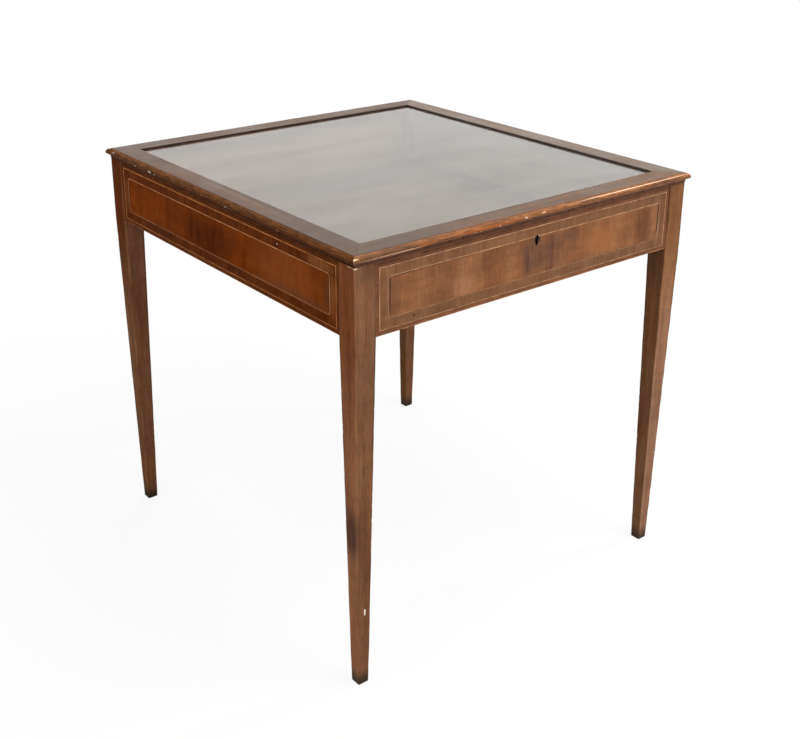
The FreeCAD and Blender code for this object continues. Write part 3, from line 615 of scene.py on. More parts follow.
def worn_leg(name, seed):
    """A rounded square carried upwards.

    At height z the half side h grows evenly from the foot to the block. Each corner is a
    quarter circle of radius r(z), between h - r and h, and each flat is a straight run. Close
    to the floor the square shrinks along a quarter circle, so that the foot's edge is round.
    """
    y_name, x_name = name.split("_")
    x_way = 1 if x_name == "right" else -1
    y_way = 1 if y_name == "rear" else -1
    bottom = FOOT_ROUND * (1 - np.cos(np.linspace(0, QUARTER, 5)))
    z = np.concatenate([bottom, np.linspace(FOOT_ROUND, CASE_TOP, LEG_ROWS)[1:]])
    share = np.clip(z / APRON_FOOT, 0, 1)
    half = (FOOT_SIDE + (LEG_SIDE - FOOT_SIDE) * share) / 2
    tuck = FOOT_ROUND - np.sqrt(np.clip(FOOT_ROUND**2 - np.clip(FOOT_ROUND - z, 0, None) ** 2, 0, None))
    rings = []
    for corner in range(4):
        line = np.stack([z, np.full_like(z, corner * CHANCE_APART)], axis=1)
        wear = 0.5 + 0.5 * waves(line, 55 * MM, seed + corner)
        nick = chips(z, 0.0, NICK_DEEP, seed + 10 * corner, NICKS, (-0.3 * MM, 0.3 * MM))
        foot_wear = 1.3 * np.exp(-z / FOOT_WEAR_REACH)
        radius = LEG_ARRIS * (0.55 + 0.7 * np.clip(wear, 0, 1.2) + foot_wear) + nick
        radius = np.where(z > APRON_FOOT - 2 * MM, LEG_ARRIS, radius)
        angle = corner * QUARTER + np.linspace(0, QUARTER, ARC_STEPS)
        inner = (half - tuck - radius)[:, None]
        way = np.array([[1, 1], [-1, 1], [-1, -1], [1, -1]][corner])
        arc_x = inner * way[0] + radius[:, None] * np.cos(angle)
        arc_y = inner * way[1] + radius[:, None] * np.sin(angle)
        rings.append(np.stack([arc_x, arc_y], axis=-1))
    ring = []
    for corner in range(4):
        start, end = rings[corner][:, -1:], rings[(corner + 1) % 4][:, :1]
        t = (np.arange(1, FLAT_STEPS) / FLAT_STEPS)[None, :, None]
        ring += [rings[corner], start + (end - start) * t]
    plan = np.concatenate(ring, axis=1)
    centre = np.array([x_way * (HALF_X - LEG_SIDE / 2), y_way * (HALF_Y - LEG_SIDE / 2)])
    height = np.broadcast_to(z[:, None], plan.shape[:2])
    points = np.concatenate([plan + centre, height[..., None]], axis=-1)
    reach = np.abs(plan) / half[:, None, None]
    arris = np.clip((reach.min(axis=-1) - 0.92) / 0.06, 0, 1)
    front_left_corner = plan.sum(axis=-1) < -half[:, None]  # at the corner towards the front left
    bare = np.clip(0.45 + 0.45 * waves(points, 90 * MM, seed + 77), 0, 1)
    # forward: the faces towards the front, which get their own painted light and shade apart from the
    # sideways ones
    facing = np.abs(plan[..., 1]) - np.abs(plan[..., 0])
    forward = np.clip(0.5 + facing / (0.4 * MM), 0, 1)
    # The front left corner is rubbed, worn with a painted highlight; the other corners are darkened
    # with dirt and painted shade.
    piece = grid_piece(
        f"leg_{name}_worn", points, forward=forward,
        rubbed=arris * bare * front_left_corner, grimy=arris * ~front_left_corner,
    )
    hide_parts(f"leg_{y_name}_{x_name}")
    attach(piece, "case")
    return piece


legs = {}
for number, name in enumerate(("front_left", "front_right", "rear_left", "rear_right")):
    legs[name] = worn_leg(name, 100 + 7 * number)
    print(name, "leg:", len(legs[name].data.polygons), "faces")

# %% [markdown]
# ## The finish of old wood
# Mahogany has a broad figure, fine fibres and short dark pores, all drawn out along the grain.
# A picture of wood would repeat and would not follow a real board, so the figure is built from
# noise that is stretched along the grain of each piece. Then come stains, wear, painted light and
# shade, and a thin polish.

# %% The wood recipe
def tones(red, green, blue, spread):
    """A deep red and a pale yellow version of one colour, spread to either side of it."""
    middle = np.array(srgb(red, green, blue)[:3])
    deep = middle * (1 - spread) * (1.03, 0.96, 0.9)
    pale = middle * (1 + spread) * (0.98, 1.03, 1.08)
    return (*deep.tolist(), 1.0), (*pale.tolist(), 1.0)


def wood(name, look, grain, seed, figure=45.0, ripple=0.5, rough=0.42, polish=0.1,
         veins=0.16, mottle=0.14, marks=(), extra=(), chart=False, stretch=0.07):
    """A wood whose colour runs from deep to pale with the figure.

    look is (red, green, blue, spread). grain is the axis of the fibres, 0 to 2. figure is how
    many bands lie in a metre across it. mottle is the strength of the clouds that lie across
    the grain. marks are (centre, radii in mm, colour, strength) of stains. extra is a function
    that repaints the colour, given the finish, the place and the colour so far, and after it
    whatever else it is given. chart is whether the pattern follows the piece's own chart.
    """
    finish = Finish(name)
    place = finish.where(chart)
    scale = [1.0, 1.0, 1.0]
    scale[grain] = stretch
    drawn = finish.moved(place, scale, (seed * 0.137, seed * 0.071, seed * 0.113))
    bands = finish.noise(drawn, figure, 3.0, 0.5, ripple)
    fibres = finish.noise(drawn, figure * 9, 3.0, 0.6, 0.2)
    pores = finish.noise(drawn, 900.0, 2.0, 0.5)
    clouds = finish.noise(finish.moved(place, shift=(seed, 0, 0)), 9.0, 3.0, 0.6)
    across = [0.55, 0.55, 0.55]
    across[grain] = 2.2
    ribbon = finish.noise(finish.moved(place, across, (0, seed, 0)), 34.0, 3.0, 0.6)
    colour = finish.mix(finish.fade(bands, 0.28, 0.72), *tones(*look))
    for pattern, start, low, high in (
        (fibres, 0.35, 1 - veins, 1.04), (ribbon, 0.3, 1 - mottle, 1 + mottle),
        (clouds, 0.3, 0.84, 1.08),
    ):
        colour = finish.times(colour, finish.fade(pattern, start, 0.7, low, high))
    pore = finish.fade(pores, 0.62, 0.74)
    colour = finish.times(colour, finish.math("SUBTRACT", 1.0, finish.product(pore, 0.4)))
    if extra:
        repaint, *given = extra
        colour = repaint(finish, place, colour, *given)
    broad = finish.fade(finish.noise(drawn, 130.0, 4.0, 0.65), 0.34, 0.66, low=0.55, high=1.1)
    bits = finish.fade(finish.noise(place, 620.0, 2.0, 0.5), 0.4, 0.56, low=0.05, high=1.2)
    for centre, radii, stain, strength in marks:
        uneven = broad if sorted(radii)[1] > 9 else bits
        stained = finish.spot(place, centre, [radius * MM for radius in radii])
        amount = finish.product(stained, strength)
        colour = finish.mix(finish.product(amount, uneven, clamp=True), colour, stain)
    gloss = finish.fade(clouds, 0.3, 0.7, low=rough - 0.08, high=rough + 0.12)
    skin = {"Base Color": colour, "Roughness": gloss, "Specular IOR Level": polish}
    finish.fill(finish.shader, skin)
    relief = finish.math("ADD", fibres, finish.product(pore, -0.7))
    finish.bump(relief, 0.12 * MM, 0.5)
    return finish.material


def dress(material, *names):
    """Gives one material to every slot of the named CAD nodes."""
    for name in names:
        for slot in nodes[name].material_slots:
            slot.material = material


# %% How the lid is painted
# Painted shade: the rail's inner sight edge is dark, as the gap by the glass is in shadow, with dark
# putty.
SIGHT_SHADE = (38, 24, 16)


def lid_paint(finish, place, colour, nose_colour, heel_colour, cove_colour, patches, flecks,
              shade):
    """The nose worn bright and painted lighter where light falls on it, the heel and cove below it
    darker as painted shade with dark waxing, the sight edge painted dark as shade, and chips, white
    flecks and dark mitres.

    patches is how much of the worn nose is dark again, and flecks how much of it is white.
    shade is the light at the rail's start and end.
    """
    nose, heel, cove = (finish.layer(name) for name in ("nose", "heel", "cove"))
    edge = finish.math("ADD", finish.math("ADD", heel, cove, clamp=True), nose, clamp=True)
    drawn = finish.moved(place, (0.1, 1, 1))
    patchy = finish.noise(drawn, 150.0, 4.0, 0.65)
    worn = finish.fade(patchy, patches - 0.06, patches + 0.1, low=0.25, high=0.95)
    # The worn nose, painted lighter where light falls on it.
    colour = finish.mix(finish.product(worn, nose), colour, nose_colour)
    streaks = finish.fade(finish.noise(drawn, 420.0, 4.0, 0.65), 0.34, 0.66, low=0.74, high=1.2)
    colour = finish.times(colour, streaks)
    # Painted shade: the heel and, in patches, the cove are darker under the nose.
    colour = finish.mix(heel, colour, heel_colour)
    cove_shade_and_dirt = finish.fade(finish.noise(drawn, 190.0, 4.0, 0.7), 0.3, 0.55, low=0.6, high=1.0)
    colour = finish.mix(finish.product(cove, cove_shade_and_dirt), colour, cove_colour)
    crumbs = finish.noise(finish.moved(place, (0.14, 1, 1)), 360.0, 4.0, 0.65)
    crumbs = finish.fade(crumbs, 0.36, 0.62, low=-0.36, high=0.26)
    crumbled = finish.math("ADD", finish.product(crumbs, edge), 1.0)
    colour = finish.times(colour, crumbled)
    # Painted shade on the sight edge.
    colour = finish.mix(finish.layer("sight"), colour, SIGHT_SHADE)
    bare = finish.fade(finish.noise(place, 330.0, 2.0, 0.5), 0.47, 0.53, high=0.85)
    chip = finish.product(finish.layer("chip"), bare)
    colour = finish.mix(chip, colour, (40, 24, 15))
    fleck = finish.fade(finish.noise(place, 380.0, 2.0, 0.6), 1 - flecks, 1.02 - flecks)
    colour = finish.mix(finish.product(fleck, edge), colour, (206, 188, 164))
    along = finish.axes(place)[0]
    colour = finish.times(colour, finish.fade(along, -0.36, 0.36, *shade))
    return finish.mix(finish.layer("joint"), colour, (34, 20, 14))


def on_moulding(along, down, long, wide, colour, strength):
    """A mark on the moulding, at a place along the rail and so many mm down from the top."""
    front = (outline_part >= 2.5) & (outline_part < COVE_END)
    spot = np.flatnonzero(front)[np.argmin(np.abs(outline[front, 1] - down * MM))]
    round_ = np.linalg.norm(np.diff(outline, axis=0), axis=1)[:spot].sum()
    return (along, round_, 0.0), (long, wide, 1000), colour, strength


def on_flat(along, inward, long, wide, colour, strength):
    """A mark on the flat top, at a place along the rail and so many mm in from the leg's face."""
    return (along, RAIL_FACE - inward * MM, 0.0), (long, wide, 1000), colour, strength


# %% Give the lid its finish
BONE = (226, 210, 186)
PALE_WOOD = (206, 158, 116)
ORANGE = (158, 82, 34)
LID_MARKS = {  # on the moulding, then on the flat top: see the two functions, all sizes in mm
    "front": ([
        (-0.0897, 7.6, 3.4, 1.3, BONE, 1.3), (-0.0764, 3.4, 2.4, 1.1, PALE_WOOD, 1.3),
        (-0.0332, 5.4, 4.6, 1.5, BONE, 1.5), (0.0064, 4.2, 5.4, 1.1, BONE, 1.2),
        (-0.1399, 9.4, 3.8, 1.1, PALE_WOOD, 1.3), (-0.1290, 8.8, 3.0, 0.9, PALE_WOOD, 1.3),
        # Painted highlight: the cream mark at the near corner's tip, the first mark on this line.
        (-0.372, 3.4, 14, 1.8, (250, 214, 172), 1.5), (-0.340, 7.4, 4, 2.6, (30, 18, 12), 1.3),
        # Painted highlights: both marks on this line, along the nose's lower edge and along the
        # moulding's foot.
        (-0.30, 8.3, 80, 1.1, (206, 164, 134), 1.0), (-0.32, 12.6, 70, 2.6, (138, 100, 78), 0.8),
        (-0.30, 3.4, 90, 6, (92, 64, 44), 0.7), (-0.235, 6, 22, 2.6, ORANGE, 0.7),
        (-0.10, 5.4, 110, 3, ORANGE, 0.75), (0.30, 5.6, 90, 3.4, (88, 58, 42), 0.8),
        # Painted shadow: the long thin dark line under the nose, the second mark on this line.
        (0.376, 6, 9, 8, (52, 38, 30), 1.0), (-0.03, 9.9, 260, 0.8, (34, 18, 11), 0.9),
        # Painted highlight along the top of the nose.
        (0.23, 2, 190, 0.9, (238, 202, 168), 1.5),
    ], [
        (-0.08, 4, 200, 8, (112, 64, 34), 0.65), (0.22, 5, 100, 6, (120, 78, 50), 0.4),
        (-0.30, 6, 70, 14, (70, 48, 34), 0.6), (0.0, 36, 330, 5, (66, 50, 42), 0.6),
    ]),
    "left": ([
        (-0.3631, 4, 5, 1.6, BONE, 1.4), (0.046, 9.6, 3.8, 1.4, BONE, 1.6),
        (0.058, 10, 2.4, 1.2, BONE, 1.5), (-0.2100, 7.6, 16, 2.8, (26, 16, 11), 1.0),
        (-0.2164, 8.8, 8, 2.2, BONE, 1.7), (-0.2000, 9.8, 5, 1.6, BONE, 1.4),
        (-0.2144, 12, 14, 3, (22, 14, 10), 1.2), (-0.2734, 9.6, 3.8, 1.4, BONE, 1.4),
        (-0.1500, 10.4, 3.2, 1.4, BONE, 1.0), (0.2004, 9.6, 3.4, 1.2, PALE_WOOD, 1.4),
        (0.30, 5, 60, 3, (132, 74, 36), 0.6),
    ], [
        (-0.10, 5, 240, 9, (78, 42, 20), 0.8), (0.28, 14, 110, 22, (62, 42, 30), 0.8),
        (0.02, 27, 190, 7, (104, 76, 54), 0.5),
    ]),
    "right": ([(-0.392, 6, 14, 9, (48, 36, 30), 1.0)], []),
    "rear": ([], []),
}
# Each side's tones differ with how that side is lit, partly as painted light and shade.
RAIL_LOOKS = {  # the wood, the moulding's paint, then polish and shade of the top and the moulding
    "front": ((88, 59, 34, 0.22), ((140, 90, 54), (118, 76, 50), (100, 63, 43), 0.42, 0.25),
              (0.19, (0.7, 1.32)), (0.06, (0.88, 1.06))),
    "left": ((80, 53, 33, 0.22), ((104, 62, 32), (92, 48, 20), (72, 38, 15), 0.46, 0.3),
             (0.17, (1.06, 0.86)), (0.008, (1.06, 0.86))),
    "rear": ((86, 60, 38, 0.22), ((96, 60, 32), (84, 48, 26), (74, 42, 24), 0.4, 0.24),
             (0.2, (0.9, 0.9)), (0.06, (1.0, 1.0))),
    "right": ((93, 69, 47, 0.22), ((104, 68, 42), (90, 52, 30), (78, 46, 28), 0.4, 0.25),
              (0.46, (1.0, 1.0)), (0.1, (1.0, 1.0))),
}
for number, (side, (look, paint, *parts)) in enumerate(RAIL_LOOKS.items()):
    moulding, flat = LID_MARKS[side]
    marks = [on_moulding(*mark) for mark in moulding] + [on_flat(*mark) for mark in flat]
    for part_name, (polish, shade) in zip(("top", "moulding"), parts):
        rail_wood = wood(
            f"lid_{side}_{part_name}_wood", look, 0, 3.1 + number, figure=70.0, polish=polish,
            rough=0.34, marks=marks, extra=(lid_paint, *paint, shade), chart=True,
        )
        rails[side].data.materials.append(rail_wood)
    print(side, "rail:", len(marks), "marks")

# %% Give the legs their finish
LEG_LOOK = (118, 66, 32, 0.18)
# Painted light and shade: each leg's faces are lighter or darker, from top to foot, as the light falls
# on them.
LEG_LIT_TONES = {  # top and foot of the sideways faces, then of the forward faces, and the polish
    "front_left": ((118, 64, 31), (142, 91, 58), (127, 86, 60), (123, 82, 55), 0.03),
    "front_right": ((100, 65, 40), (112, 74, 48), (136, 91, 57), (144, 103, 78), 0.03),
    "rear_left": ((95, 46, 15), (119, 79, 53), (110, 72, 52), (120, 78, 54), 0.004),
    "rear_right": ((104, 66, 38), (112, 70, 36), (112, 74, 50), (112, 74, 52), 0.03),
}


def ratio(colour):
    """What the legs' common look is multiplied by to give a colour."""
    wanted, look = srgb(*colour), srgb(*LEG_LOOK[:3])
    return (*(new / old for new, old in zip(wanted[:3], look[:3])), 1.0)


def leg_paint(finish, place, colour, side_top, side_foot, ahead_top, ahead_foot):
    """Each face lighter or darker as painted light and shade, the front left corner worn bright with a
    painted highlight, the other corners darkened with dirt and painted shade, and a dark foot.
    """
    height = finish.axes(place)[2]
    lower = finish.fade(height, 0.64, 0.40)
    sideways = finish.mix(lower, ratio(side_top), ratio(side_foot))
    ahead = finish.mix(lower, ratio(ahead_top), ratio(ahead_foot))
    face = finish.mix(finish.layer("forward"), sideways, ahead)
    colour = finish.mix(1.0, colour, face, "MULTIPLY")
    # Painted highlight with wear on the front left corner.
    rubbed = finish.product(finish.layer("rubbed"), 0.45)
    colour = finish.mix(rubbed, colour, (178, 126, 86))
    # Dirt and painted shade on the other corners.
    grimy = finish.product(finish.layer("grimy"), 0.7)
    colour = finish.mix(grimy, colour, (52, 38, 30))
    cloudy = finish.noise(place, 70.0, 4.0, 0.7)
    uneven = finish.math("ADD", height, finish.product(cloudy, 0.02))
    foot = finish.fade(uneven, 0.044, 0.014, high=0.9)
    return finish.mix(foot, colour, (50, 42, 35))


LEG_MARKS = {
    "front_left": [
        ((-0.3440, -0.3785, 0.139), (2.4, 6, 8), (240, 226, 204), 3.0),
        ((-0.358, -0.368, 0.285), (12, 24, 60), (64, 40, 30), 1.1),
        ((-0.352, -0.368, 0.31), (26, 26, 90), (84, 52, 34), 0.5),
        # Painted highlight on a chipped edge: the cream line at the top of the near corner.
        ((-0.365, -0.3875, 0.7300), (9, 3, 1.6), (240, 204, 170), 2.0),
        ((-0.365, -0.3775, 0.7306), (3, 12, 1.2), PALE_WOOD, 1.4),
        ((-0.342, -0.3875, 0.7180), (20, 3, 16), (92, 66, 50), 0.5),
    ],
    "front_right": [
        ((0.3555, -0.3810, 0.19), (1.5, 4, 3), BONE, 1.6),
        ((0.345, -0.386, 0.68), (30, 4, 60), (108, 66, 40), 0.5),
        ((0.328, -0.3875, 0.675), (2.4, 3, 70), (74, 44, 26), 1.0),
    ],
}
for number, (name, piece) in enumerate(legs.items()):
    *lit_tones, leg_polish = LEG_LIT_TONES[name]
    leg_wood = wood(
        f"leg_{name}_wood", LEG_LOOK, 2, 11.3 + number, figure=75.0, mottle=0.05, veins=0.24,
        polish=leg_polish, extra=(leg_paint, *lit_tones), marks=LEG_MARKS.get(name, ()),
    )
    piece.data.materials.append(leg_wood)
print("leg woods:", len(legs))

# %% The aprons' stains, and marks of painted light and shade
STAIN = (72, 50, 42)
DEEP = (64, 26, 5)
MARK_DEEP = 5  # mm
FIELD_MARKS = {  # place along, height, half length and half height in mm, colour, strength
    "front": [
        (-0.010, 0.668, 32, 50, STAIN, 0.78), (0.034, 0.670, 44, 52, STAIN, 0.6),
        # Painted shade: the dark mark at 0.0012 widens the keyhole's dark, as of a worn ragged hole.
        (0.082, 0.690, 30, 24, STAIN, 0.45), (0.0012, 0.6990, 8.6, 8, (26, 16, 12), 2.2),
        (-0.155, 0.658, 34, 28, (172, 122, 88), 0.45), (-0.105, 0.684, 20, 26, (98, 58, 38), 0.6),
        (0.262, 0.672, 30, 50, (92, 52, 28), 0.8), (-0.295, 0.672, 22, 50, (98, 60, 40), 0.6),
        (0.15, 0.668, 60, 30, (150, 94, 54), 0.7), (-0.098, 0.6995, 6, 1.2, (52, 26, 16), 2.0),
        (-0.088, 0.7015, 4, 1, (52, 26, 16), 1.5),
    ],
    "left": [
        (0.030, 0.662, 96, 52, DEEP, 0.85), (0.085, 0.668, 30, 50, DEEP, 0.45),
        # Painted light: the pale patch at -0.205 lightens the near end.
        (-0.205, 0.676, 130, 60, (128, 68, 30), 0.75), (-0.230, 0.643, 130, 14, (100, 60, 36), 0.7),
        (-0.318, 0.672, 16, 40, (86, 52, 28), 0.8),
    ],
}
BAND_MARKS = {
    "front": [(-0.2536, 0.632, 4, 3, (56, 34, 26), 1.2)],
    "left": [
        (-0.185, 0.7135, 1.3, 1.2, (255, 250, 238), 3.0), (-0.30, 0.7135, 50, 14, (128, 78, 42), 0.8),
        (-0.332, 0.672, 12, 46, (124, 74, 38), 0.8), (0.331, 0.672, 9, 46, (116, 66, 26), 0.9),
    ],
}


def on_apron(side, marks):
    """An apron's marks, given by their place along it, laid on its face."""
    laid = []
    for along, height, long, tall, colour, strength in marks.get(side, ()):
        centre, radii = (along, SHOW_FRONT, height), (long, MARK_DEEP, tall)
        if side == "left":
            centre, radii = (SHOW_LEFT, along, height), (MARK_DEEP, long, tall)
        laid.append((centre, radii, colour, strength))
    return laid


print("stained:", list(FIELD_MARKS))

# %% How the aprons are painted
# Where the painted shadow line under the lid lies.
GAP_SHADOW_LEVEL = CASE_TOP - 4.2 * MM


def field_edge_shade(finish, place, colour, axis, half, levels, strength):
    """A dark line just inside the inlaid line, at both ends and half the top: painted shade, as of a
    slightly sunk field, with dirt in the joint.

    axis is the one along the apron, half the field's half length and levels its foot and top.
    """
    along = finish.axes(place)[axis]
    height = finish.axes(place)[2]
    end = finish.fade(finish.math("ABSOLUTE", along), half - 3.8 * MM, half - 1.6 * MM)
    faded = finish.fade(height, levels[0], levels[0] + 22 * MM)
    end = finish.product(end, faded)
    top = finish.fade(height, levels[1] - 1.7 * MM, levels[1] - 0.5 * MM)
    top = finish.product(top, finish.fade(along, 0.0, -half))
    line = finish.math("MAXIMUM", end, top)
    # Painted shade with dirt: the dark line inside the inlaid line.
    return finish.mix(finish.product(line, strength), colour, (34, 18, 12))


def low_dirt(finish, place, colour, start, dark):
    """Grime that gathers below a height, as a share of the light that is left."""
    height = finish.axes(place)[2]
    return finish.times(colour, finish.fade(height, start - 6 * MM, start, low=dark, high=1.0))


def border_paint(finish, place, colour, foot, worn, gap_shadow):
    """The lower edge rubbed to bright wood with a painted highlight, and a painted shadow line a little
    under the lid, where the lid meets the case.
    """
    height = finish.axes(place)[2]
    edge = finish.fade(height, foot + 2.2 * MM, foot + 0.6 * MM)
    rubbed = finish.fade(finish.noise(place, 45.0, 4.0, 0.7), 0.34, 0.6)
    # Wear with a painted highlight on the lower edge.
    colour = finish.mix(finish.product(edge, rubbed), colour, worn)
    # Painted shadow: the dark line a little under the lid.
    below = finish.math("ABSOLUTE", finish.math("SUBTRACT", height, GAP_SHADOW_LEVEL))
    line = finish.product(finish.fade(below, 1.6 * MM, 0.5 * MM), rubbed)
    return finish.mix(finish.product(line, 0.85), colour, gap_shadow)


# %% Give the inlay its woods
# Each side's woods are matched to how that side is lit: the left ones are darker and redder, partly as
# painted shade.
INLAY = {  # field, crossbanding, outer line, inner line, border, worn edge with painted highlight, and painted shadow under the lid
    "front": (
        (134, 86, 53, 0.15), (126, 85, 56, 0.13), (172, 128, 94, 0.08), (168, 124, 88, 0.1),
        (118, 74, 48, 0.16), (172, 122, 82), (70, 38, 22),
    ),
    "left": (
        (110, 49, 7, 0.2), (97, 46, 15, 0.2), (178, 112, 62, 0.14), (172, 120, 80, 0.14),
        (96, 50, 21, 0.18), (150, 92, 50), (58, 24, 8),
    ),
    "right": (
        (116, 66, 34, 0.18), (102, 62, 36, 0.16), (164, 118, 80, 0.12), (164, 120, 84, 0.12),
        (98, 60, 36, 0.18), (150, 98, 60), (58, 30, 16),
    ),
}
SIDES = ("front", "right", "rear", "left")
for side in SIDES:
    long_side = side in ("front", "rear")
    # The side aprons have almost no polish, so that they show little sheen: a copy of the front's
    # finish matched to the shaded left side.
    polish = 0.08 if long_side else 0.004
    dirt = 0.92 if long_side else 0.9
    seed = 5.0 + len(side) * 1.7
    low, high = corners_of(f"{side}_field_veneer")
    axis = 0 if long_side else 1
    foot = low[2]
    strength = 1.0 if side == "front" else 0.6
    looks = INLAY["front" if long_side else side]
    field_look, band_look, outer_look, inner_look, border_look, *edges = looks
    field = wood(
        f"{side}_field", field_look, 2, seed, figure=26.0, stretch=0.14, polish=polish,
        veins=0.16, marks=on_apron(side, FIELD_MARKS),
        extra=(field_edge_shade, axis, high[axis], (foot, high[2]), strength),
    )
    dress(field, f"{side}_field_veneer")
    band = wood(
        f"{side}_crossband", band_look, 2, seed + 1, figure=60.0, polish=polish, mottle=0.1,
        marks=on_apron(side, BAND_MARKS), extra=(low_dirt, foot, dirt),
    )
    dress(band, f"{side}_crossbanding")
    for ring, look, start, dark in (
        ("outer", outer_look, foot - 10 * MM, 0.8), ("inner", inner_look, foot + 3 * MM, 0.42)
    ):
        line = wood(
            f"{side}_{ring}_line", look, axis, seed + 2, figure=60.0, veins=0.1, stretch=0.4,
            polish=polish, mottle=0.34, extra=(low_dirt, start, dark),
        )
        dress(line, f"{side}_{ring}_stringing")
    border = wood(
        f"{side}_border", border_look, axis, seed + 3, figure=60.0, polish=polish,
        extra=(border_paint, APRON_FOOT, *edges),
    )
    dress(border, f"{side}_border_veneer")
    # Painted light: the cores' inner faces, seen through the glass, are toned up so that the inside is
    # not left dark.
    core_look = (108, 80, 55, 0.16) if long_side else (116, 97, 79, 0.14)
    core = wood(
        f"{side}_core", core_look, axis, seed + 4, figure=50.0, polish=0.06, mottle=0.04
    )
    dress(core, f"{side}_apron_core")
    print(side, "apron:", [made.name for made in (field, band, line, border, core)])

# %% The rest of the wood
BOARD_TOP = corners_of("bottom_board_1")[1][2]
OLD_DAMP = [
    ((0.10, 0.27, BOARD_TOP), (260, 80, 9), (38, 26, 18), 0.9),
    ((0.09, 0.245, BOARD_TOP), (130, 6, 9), (24, 15, 10), 1.2),
    ((0.10, 0.092, BOARD_TOP), (140, 7, 9), (24, 15, 10), 1.2),
    ((0.00, 0.135, BOARD_TOP), (90, 5, 9), (24, 15, 10), 0.8),
]
# Painted shade: the boards are darker than the pine, so that the light on them, seen through the glass,
# is even.
boards = wood(
    "bottom_pine", (76, 58, 41, 0.26), 0, 31.0, figure=30.0, veins=0.3, mottle=0.03,
    marks=OLD_DAMP,
)
dress(boards, "bottom_board_1", "bottom_board_2", "bottom_board_3")
for side in SIDES:
    axis = 0 if side in ("front", "rear") else 1
    bead = wood(f"{side}_bead_wood", (86, 50, 30, 0.2), axis, 41.0, figure=80.0)
    dress(bead, f"glazing_bead_{side}")
dress(wood("spline_wood", (136, 98, 64, 0.1), 0, 47.0), "mitre_splines")
print("stains on the boards:", len(OLD_DAMP))

# %% [markdown]
# ## Glass and metal
# Old glass is clear, but its film of dust greys what lies behind it. One shader does both: most
# of the light goes through, and a small share that varies in streaks is scattered. Brass and
# steel are one recipe: bright metal, with tarnish in patches that are also rougher.

# %% Glass, brass and steel
def glass_finish():
    """Clear glass with a film of dust, wiped in streaks and thicker at one end.

    Shadows pass through it.
    """
    finish = Finish("old_glass")
    wiped = finish.noise(finish.moved(finish.where(), (0.22, 1, 1)), 16.0, 4.0, 0.6, 0.4)
    edge = finish.fade(finish.axes(finish.where())[0], 0.16, 0.34, high=0.02)
    clear_share = finish.math("SUBTRACT", finish.fade(wiped, 0.3, 0.7, low=0.979, high=1.0), edge)
    finish.fill(finish.shader, {
        "Base Color": (0.91, 0.895, 0.85, 1), "Roughness": 0.0, "IOR": 1.5,
        "Transmission Weight": clear_share,
    })
    shadow = finish.add("LightPath").outputs["Is Shadow Ray"]
    clear = finish.add("BsdfTransparent", {"Color": (0.9, 0.9, 0.9, 1)})
    return finish.mix_shaders(shadow, finish.shader, clear)


dress(glass_finish(), "glass_pane")


def metal(name, clean, tarnish, rough, patina, seed):
    """Metal whose bright skin shows through patches of tarnish."""
    finish = Finish(name)
    place = finish.moved(finish.where(), shift=(seed, 0, 0))
    patches = finish.fade(finish.noise(place, 160.0, 5.0, 0.65), 0.38, 0.62)
    scratches = finish.noise(finish.moved(place, (0.15, 1, 1)), 1500.0, 2.0, 0.5)
    amount = finish.product(patches, patina)
    colour = finish.mix(amount, clean, tarnish)
    gloss = finish.math("ADD", finish.product(patches, 0.22), rough)
    finish.fill(finish.shader, {"Base Color": colour, "Roughness": gloss, "Metallic": 1.0})
    finish.bump(scratches, 0.03 * MM, 0.35)
    return finish.material


BRASS = metal("aged_brass", (206, 168, 96), (112, 82, 46), 0.28, 0.7, 3.0)
STEEL = metal("dull_steel", (150, 148, 144), (82, 74, 66), 0.35, 0.6, 7.0)
IRON = metal("iron", (104, 98, 92), (70, 46, 34), 0.45, 0.8, 9.0)
# Painted shade: the keyhole liner is near black, so that the keyhole reads as a dark hole.
KEYHOLE_DARK = metal("keyhole_dark_brass", (44, 32, 20), (16, 11, 8), 0.5, 0.95, 5.0)
for side in ("left", "right"):
    dress(BRASS, f"hinge_{side}_case_leaf", f"hinge_{side}_lid_leaf")
    dress(STEEL, f"hinge_{side}_pin")
dress(BRASS, "lock_plate", "lock_bolt", "link_plate")
dress(STEEL, "lock_box", "lock_spring", "lock_key_pin")
dress(KEYHOLE_DARK, "keyhole_liner")
print("metals:", [material.name for material in (BRASS, STEEL, IRON, KEYHOLE_DARK)])

# %% [markdown]
# ## Slotted screws
# Hinges, lock and boards are held by slotted screws. A threaded screw would cost thousands of
# faces that nothing shows, so each is only the head that can be seen: a shallow dome, turned
# about its axis as a grid, whose top is pressed down along a straight slot.

# %% Make the screw heads
HEAD_RADIUS = 2.8 * MM
HEAD_RISE = 0.12 * MM
HEAD_DEPTH = 0.5 * MM
SLOT_HALF = 0.34 * MM
HEAD_RINGS = 15
HEAD_SPOKES = 40


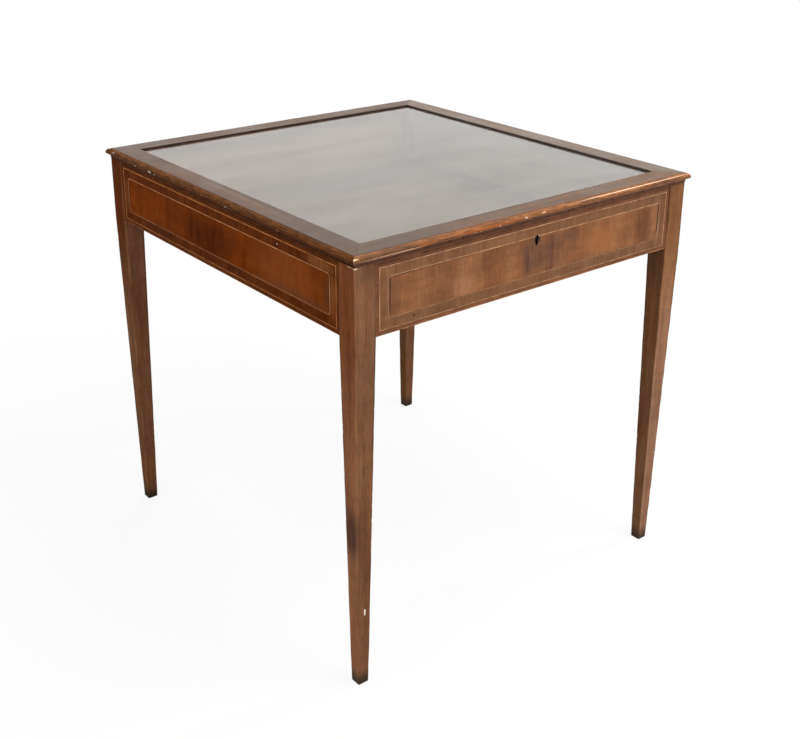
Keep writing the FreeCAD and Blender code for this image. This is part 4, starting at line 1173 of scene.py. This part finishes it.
def screw_heads(name, body, material, places, axis, seed):
    """Screw heads at places, whose domes face along axis, as one piece.

    With r the share of the radius, the dome's height is rise * (1 - r squared). Where the
    distance from the slot's middle line is under the slot's half width, the height falls by
    depth, between soft walls. Each head gets its own turn of the slot.
    """
    chance = np.random.default_rng(seed)
    share = np.concatenate([[1.0, 1.0], np.linspace(0.985, 0.02, HEAD_RINGS)])[:, None]
    turn = np.linspace(0, 2 * math.pi, HEAD_SPOKES, endpoint=False)[None, :]
    across, along = share * np.cos(turn), share * np.sin(turn)
    wall = np.clip((SLOT_HALF - np.abs(across) * HEAD_RADIUS) / (0.12 * MM) + 0.5, 0, 1)
    height = HEAD_RISE * (1 - share**2) - HEAD_DEPTH * wall
    height[0] = -HEAD_DEPTH - HEAD_RISE
    local = np.stack([across * HEAD_RADIUS, along * HEAD_RADIUS, height], axis=-1)
    squares, *ends = grid_faces(*local.shape[:2])
    axis = np.asarray(axis, dtype=float)
    first = np.cross(axis, [1.0, 0.0, 0.0] if abs(axis[0]) < 0.5 else [0.0, 1.0, 0.0])
    second = np.cross(axis, first)
    points, faces = [], []
    for number, place in enumerate(places):
        angle = chance.uniform(0, math.pi)
        cos, sin = math.cos(angle), math.sin(angle)
        frame_x, frame_y = first * cos + second * sin, second * cos - first * sin
        head = local @ np.stack([frame_x, frame_y, axis]) + np.asarray(place)
        first_point = number * height.size
        points.append(head.reshape(-1, 3))
        faces += (squares[:, [0, 3, 2, 1]] + first_point).tolist()
        faces += [(end[::-1] + first_point).tolist() for end in ends]
    piece = new_piece(name, np.concatenate(points), faces)
    piece.data.materials.append(material)
    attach(piece, body)
    print(name + ":", len(places), "heads,", len(faces), "faces")


UP, DOWN = (0, 0, 1), (0, 0, -1)
case_places, lid_places = [], []
for side in ("left", "right"):
    low, high = corners_of(f"hinge_{side}_lid_leaf")
    for share in (1 / 6, 1 / 2, 5 / 6):
        place = (low[0] + (high[0] - low[0]) * share, low[1] + 8.5 * MM)
        case_places.append((*place, CASE_TOP))
        lid_places.append((*place, LID_BOTTOM))
screw_heads("hinge_case_screw_heads", "case", BRASS, case_places, UP, 61)
screw_heads("hinge_lid_screw_heads", "lid", BRASS, lid_places, DOWN, 62)

low, high = corners_of("lock_plate")
plate_places = [low + (high - low) * (s, 1, t) for s in (0.051, 0.949) for t in (0.25, 0.75)]
screw_heads("lock_screw_heads", "case", BRASS, plate_places, (0, 1, 0), 63)

low, high = corners_of("link_plate")
link_places = [
    (x, (low[1] + high[1]) / 2, LID_BOTTOM) for x in (low[0] + 5.6 * MM, high[0] - 5.6 * MM)
]
screw_heads("link_screw_heads", "lid", BRASS, link_places, DOWN, 64)

board_places = []
for number in (1, 2, 3):
    low, high = corners_of(f"bottom_board_{number}")
    for x in (low[0] + 4.1 * MM, high[0] - 4.1 * MM):
        for share in (0.22, 0.78):
            board_places.append((x, low[1] + (high[1] - low[1]) * share, low[2]))
screw_heads("board_screw_heads", "case", IRON, board_places, DOWN, 65)
